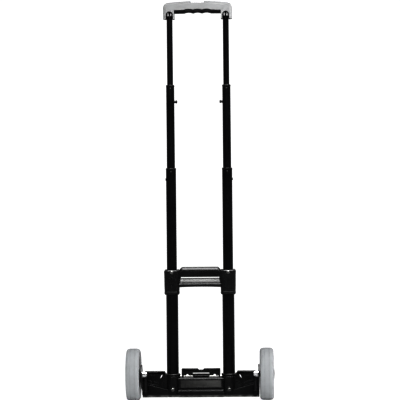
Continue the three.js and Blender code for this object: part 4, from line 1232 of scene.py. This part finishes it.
def hub_cap(word, side, axis):
    """A shallow domed cap with a turned rim, pressed into the hub's cup."""
    node = f"hub_cap_{word}"
    wheel = middle(f"tyre_{word}")
    base, end = reach_of(node)
    r = radius(node, 2) / MM
    profile = mm([
        (0, 5.3), (8.6, 5.3), (8.6, 0.1), (19.6, 0.1), (19.6, 2.25), (r - 0.3, 2.25), (r, 2.6),
        (r - 0.15, 3.4), (r - 0.9, 4.4), (r - 2.4, 5.0), (r - 3.0, 4.95), (r - 3.4, 4.6), (r - 3.9, 4.6),
        (r - 4.3, 5.2), (12, 6.3), (6, 6.95), (0, (end - base) / MM),
    ])
    cap = turned(profile, (side * base, wheel.y, wheel.z), axis, 96)
    piece_from(node + "_dome", cap, f"wheel_{word}", "cap_grey", node, 32)


def bracket_plate(word, side):
    """A pressed steel wheel bracket: a lightened plate, a hinge barrel and a boss round the axle."""
    node = f"wheel_bracket_{word}"
    wheel = middle(f"tyre_{word}")
    swing = middle(f"swing_pin_{word}")
    z0, z1 = 16.5 * MM, 49.5 * MM

    def sheet(outline, x0, x1, holes, edge):
        return prism(outline, *span(side, x0, x1), "yz", holes, edge * MM)

    outline = [(swing.y + 4 * MM, z0), (swing.y + 4 * MM, z1), (swing.y - 9 * MM, z1)]
    outline += arc(wheel.y, wheel.z, 24 * MM, 54, 237.6, 36)
    hole = circle(wheel.y, wheel.z, 4.2 * MM, 36)
    lighten = smooth_outline(mm([(-62, 30), (-48, 24), (-46, 38), (-58, 40)]), 3 * MM, 4)
    foot, top = z0 / MM, z1 / MM
    barrel = mm([
        (2.8, foot + 0.3), (3.1, foot), (5.6, foot), (6, foot + 0.4), (6, top - 0.4), (5.6, top), (3.1, top),
        (2.8, top - 0.3),
    ])
    shells = [
        sheet(outline, 142, 145, [hole, lighten], 0.5),
        turned(barrel, (swing.x, swing.y, 0), "z", 48),
        sheet(circle(wheel.y, wheel.z, 15 * MM, 72), 141.4, 142.5, [hole], 0.4),
    ]
    piece_from(node + "_pressing", shells, f"swing_{word}", "black_steel", node, 32)


def axle_bolt(word, axis):
    node = f"axle_bolt_{word}"
    wheel = middle(f"tyre_{word}")
    start, end = (x / MM for x in reach_of(node))
    profile = mm([
        (0, start), (3.4, start), (4, start + 0.7), (4, end - 4.1), (7, end - 4.1), (7, end - 1.4),
        (6.2, end - 0.4), (4.5, end), (0, end),
    ])
    bolt = turned(profile, (0, wheel.y, wheel.z), axis, 48)
    piece_from(node + "_shank", bolt, f"swing_{word}", "steel", node)


def axle_nut(word, axis):
    """A domed hexagon nut on a washer."""
    node = f"axle_nut_{word}"
    wheel = middle(f"tyre_{word}")
    tip, face = (x / MM for x in reach_of(node))
    origin = (0, 0, 0)
    hexagon = turned(mm([
        (4.15, face - 6.9), (6.9, face - 7.0), (7.95, face - 6.3), (7.95, face - 0.7), (7.2, face),
        (4.6, face), (4.15, face - 0.5),
    ]), origin, "z", 6)
    bevel(hexagon, 0.25 * MM, 2, 35)
    crown = [(0, face - 9.4), (4.15, face - 9.4), (4.15, face - 6), (6.5, face - 6), (6.6, face - 7.4)]
    crown += dome(6.4, face - 7.7, tip - face + 7.7, 9)
    washer = [(4.2, face - 1.2), (8.0, face - 1.2), (8.0, face - 0.1), (4.2, face - 0.1)]
    shells = [hexagon, turned(mm(crown), origin), turned(mm(washer), origin, "z", 48)]
    for shell in shells:
        place(shell, AXES[axis], (0, wheel.y, wheel.z))
    piece_from(node + "_dome", shells, f"swing_{word}", "chrome", node, 32)


def axle_spacer(word, axis):
    node = f"axle_spacer_{word}"
    wheel = middle(f"tyre_{word}")
    a, b = (x / MM for x in reach_of(node))
    profile = mm([(4.25, a), (6.6, a), (7, a + 0.4), (7, b - 0.4), (6.6, b), (4.25, b)])
    spacer = turned(profile, (0, wheel.y, wheel.z), axis, 48)
    piece_from(node + "_ring", spacer, f"swing_{word}", "black_plastic", node)


# ---- CAD nodes that are kept as they are, inside the others ---------------------------------------
STEEL_INSIDE = ("button_spring", "push_rod_left", "push_rod_right")
PLASTIC_INSIDE = (
    "release_yoke", "middle_foot_left", "middle_foot_right", "upper_foot_left", "upper_foot_right",
    "top_foot_left", "top_foot_right",
)


def keep_nodes():
    for nodes, slot in ((STEEL_INSIDE, "steel"), (PLASTIC_INSIDE, "black_plastic")):
        for node in nodes:
            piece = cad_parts[node]
            piece.data.materials.clear()
            piece.data.materials.append(MATERIALS[slot])


# ---- stage --------------------------------------------------------------------------------------
def stage():
    """A pale floor that curves up into a backdrop."""
    mesh = bmesh.new()
    profile = [(-7.0, 0.0), (2.6, 0.0)]
    for k in range(1, 13):
        angle = math.radians(7.5 * k)
        profile.append((2.6 + 1.6 * math.sin(angle), 1.6 - 1.6 * math.cos(angle)))
    profile.append((4.2, 6.0))
    rows = [[mesh.verts.new((x, y, z)) for y, z in profile] for x in (-6.0, 6.0)]
    for i in range(len(profile) - 1):
        mesh.faces.new((rows[0][i], rows[1][i], rows[1][i + 1], rows[0][i + 1]))
    floor = bare_object("floor", mesh)
    finish_shading(floor, 40)
    floor.data.materials.append(stage_paper())


def stage_paper():
    """White paper, lit to full white. Reflections see it only near the trolley, so blacks stay black."""
    n = Nodes("pale_paper")
    n.set(
        Base_Color=n.mix(n.noise(3.0, 5.0), (0.88, 0.88, 0.88), (0.91, 0.91, 0.91)),
        Roughness=0.75,
        Normal=n.bump(n.noise(500.0, 3.0), 0.03, 0.0003),
    )
    n.shader.inputs["Specular IOR Level"].default_value = 0.1
    path = n.add("ShaderNodeLightPath")
    glow = n.add("ShaderNodeEmission")
    glow.inputs["Strength"].default_value = 1.2
    washed = n.add("ShaderNodeMixShader")
    n.link(n.maths("MULTIPLY", path.outputs["Is Camera Ray"], FLOOR_WASH), washed.inputs[0])
    n.link(n.shader.outputs[0], washed.inputs[1])
    n.link(glow.outputs[0], washed.inputs[2])
    away = n.add("ShaderNodeVectorMath", operation="LENGTH")
    n.link(n.place, away.inputs[0])
    far = n.remap(away.outputs["Value"], 0.7, 1.5, 0.0, 1.0)
    mixed = n.add("ShaderNodeMixShader")
    n.link(n.maths("MULTIPLY", path.outputs["Is Glossy Ray"], far), mixed.inputs[0])
    n.link(washed.outputs[0], mixed.inputs[1])
    n.link(n.add("ShaderNodeBsdfTransparent").outputs[0], mixed.inputs[2])
    n.link(mixed.outputs[0], n.tree.nodes["Material Output"].inputs["Surface"])
    return n.material


def area_light(name, at, aim, width, height, power):
    data = bpy.data.lights.new(name, "AREA")
    data.shape = "RECTANGLE"
    data.size, data.size_y, data.energy = width, height, power
    lamp = bpy.data.objects.new(name, data)
    lamp.location = at
    lamp.rotation_euler = (Vector(aim) - Vector(at)).to_track_quat("-Z", "Y").to_euler()
    bpy.context.scene.collection.objects.link(lamp)
    return lamp


def reflected_room(tree):
    """What shiny parts see: a pale floor, a dim room at eye level, light overhead and a white backdrop."""
    coordinates = tree.nodes.new("ShaderNodeTexCoord")
    split = tree.nodes.new("ShaderNodeSeparateXYZ")
    tree.links.new(coordinates.outputs["Generated"], split.inputs[0])
    half_up = tree.nodes.new("ShaderNodeMapRange")
    half_up.inputs["From Min"].default_value = -1.0
    tree.links.new(split.outputs["Z"], half_up.inputs["Value"])
    ahead = tree.nodes.new("ShaderNodeMapRange")
    ahead.inputs["From Min"].default_value = 0.0
    ahead.inputs["From Max"].default_value = 0.35
    tree.links.new(split.outputs["Y"], ahead.inputs["Value"])
    shades = []
    floor_to_eye = [(0.0, 0.5), (0.462, 0.5), (0.482, EYE_LEVEL_SHADE), (0.555, EYE_LEVEL_SHADE)]
    for overhead in ((0.875, 0.6), (0.6, 1.0)):
        # First the room behind the camera, then the backdrop.
        stops = floor_to_eye + [overhead]
        ramp = tree.nodes.new("ShaderNodeValToRGB")
        while len(ramp.color_ramp.elements) < len(stops):
            ramp.color_ramp.elements.new(0.5)
        for element, (position, shade) in zip(ramp.color_ramp.elements, stops):
            element.position = position
            element.color = (shade, shade, shade, 1)
        tree.links.new(half_up.outputs["Result"], ramp.inputs["Fac"])
        shades.append(ramp.outputs["Color"])
    mixed = tree.nodes.new("ShaderNodeMix")
    mixed.data_type = "RGBA"
    tree.links.new(ahead.outputs["Result"], mixed.inputs[0])
    tree.links.new(shades[0], mixed.inputs[6])
    tree.links.new(shades[1], mixed.inputs[7])
    return mixed.outputs[2]


def lights():
    """Soft boxes behind the camera and at both sides, in a white room that is dim at eye level."""
    centre = (0, 0, 0.5)
    boxes = [
        area_light("key_soft", (0.5, -3.4, 1.3), centre, 1.8, 1.8, 62),
        area_light("left_soft", (-2.4, -0.6, 1.0), centre, 0.8, 1.8, 10),
        area_light("right_soft", (2.4, -0.6, 1.0), centre, 0.8, 1.8, 28),
    ]
    for box in boxes:
        box.visible_glossy = False
    # A wide box overhead that only draws highlights along upper edges.
    sheen = area_light("sheen", (0.3, -0.9, 2.8), centre, 3.0, 3.2, 400)
    sheen.visible_diffuse = False
    world = bpy.data.worlds.new("studio")
    bpy.context.scene.world = world
    world.use_nodes = True
    tree = world.node_tree
    tree.nodes.clear()
    shades = [((0.98, 0.99, 1.0, 1), 0.55), ((1, 1, 1, 1), 1.8), ((1, 1, 1, 1), 1.0)]
    general, reflected, seen = [tree.nodes.new("ShaderNodeBackground") for _ in shades]
    for node, (colour, strength) in zip((general, reflected, seen), shades):
        node.inputs["Color"].default_value = colour
        node.inputs["Strength"].default_value = strength
    tree.links.new(reflected_room(tree), reflected.inputs["Color"])
    path = tree.nodes.new("ShaderNodeLightPath")
    result = general.outputs[0]
    for ray, shade in (("Is Glossy Ray", reflected), ("Is Camera Ray", seen)):
        mixed = tree.nodes.new("ShaderNodeMixShader")
        tree.links.new(path.outputs[ray], mixed.inputs[0])
        tree.links.new(result, mixed.inputs[1])
        tree.links.new(shade.outputs[0], mixed.inputs[2])
        result = mixed.outputs[0]
    out = tree.nodes.new("ShaderNodeOutputWorld")
    tree.links.new(result, out.inputs["Surface"])


def camera():
    """Level with the middle of the handle, behind the trolley and a touch to its right."""
    data = bpy.data.cameras.new("camera")
    data.sensor_width = 36
    data.lens = CAMERA_LENS
    data.clip_start, data.clip_end = 0.1, 50
    view = bpy.data.objects.new("camera", data)
    turn = (Vector(CAMERA_AIM) - Vector(CAMERA_AT)).to_track_quat("-Z", "Y").to_matrix()
    view.location = CAMERA_AT
    view.rotation_euler = (turn @ Matrix.Rotation(math.radians(CAMERA_ROLL), 3, "Z")).to_euler()
    bpy.context.scene.collection.objects.link(view)
    bpy.context.scene.camera = view


# ---- build --------------------------------------------------------------------------------------
telescoping_sections()
grip()
grip_insert()
grip_ferrules()
release_button()
carry_bracket()
base()
latch()
toe_plate()
toe_foot("toe_foot_left")
toe_foot("toe_foot_right")
hinge_pin("toe_hinge_pin")
hinge_pin("latch_pin")
for word, side in SIDES:
    headed_pin(f"swing_pin_{word}")
    pan_screw(f"socket_screw_{word}", "steel")
    pan_screw(f"bracket_screw_{word}", "chrome")
    outward = "x" if side > 0 else "-x"
    tyre(word)
    hub(word, outward)
    hub_cap(word, side, outward)
    bracket_plate(word, side)
    axle_bolt(word, outward)
    axle_nut(word, outward)
    axle_spacer(word, outward)
keep_nodes()
stage()
lights()
camera()
bpy.context.scene.view_settings.view_transform = "Standard"
bpy.context.scene.view_settings.gamma = 0.5
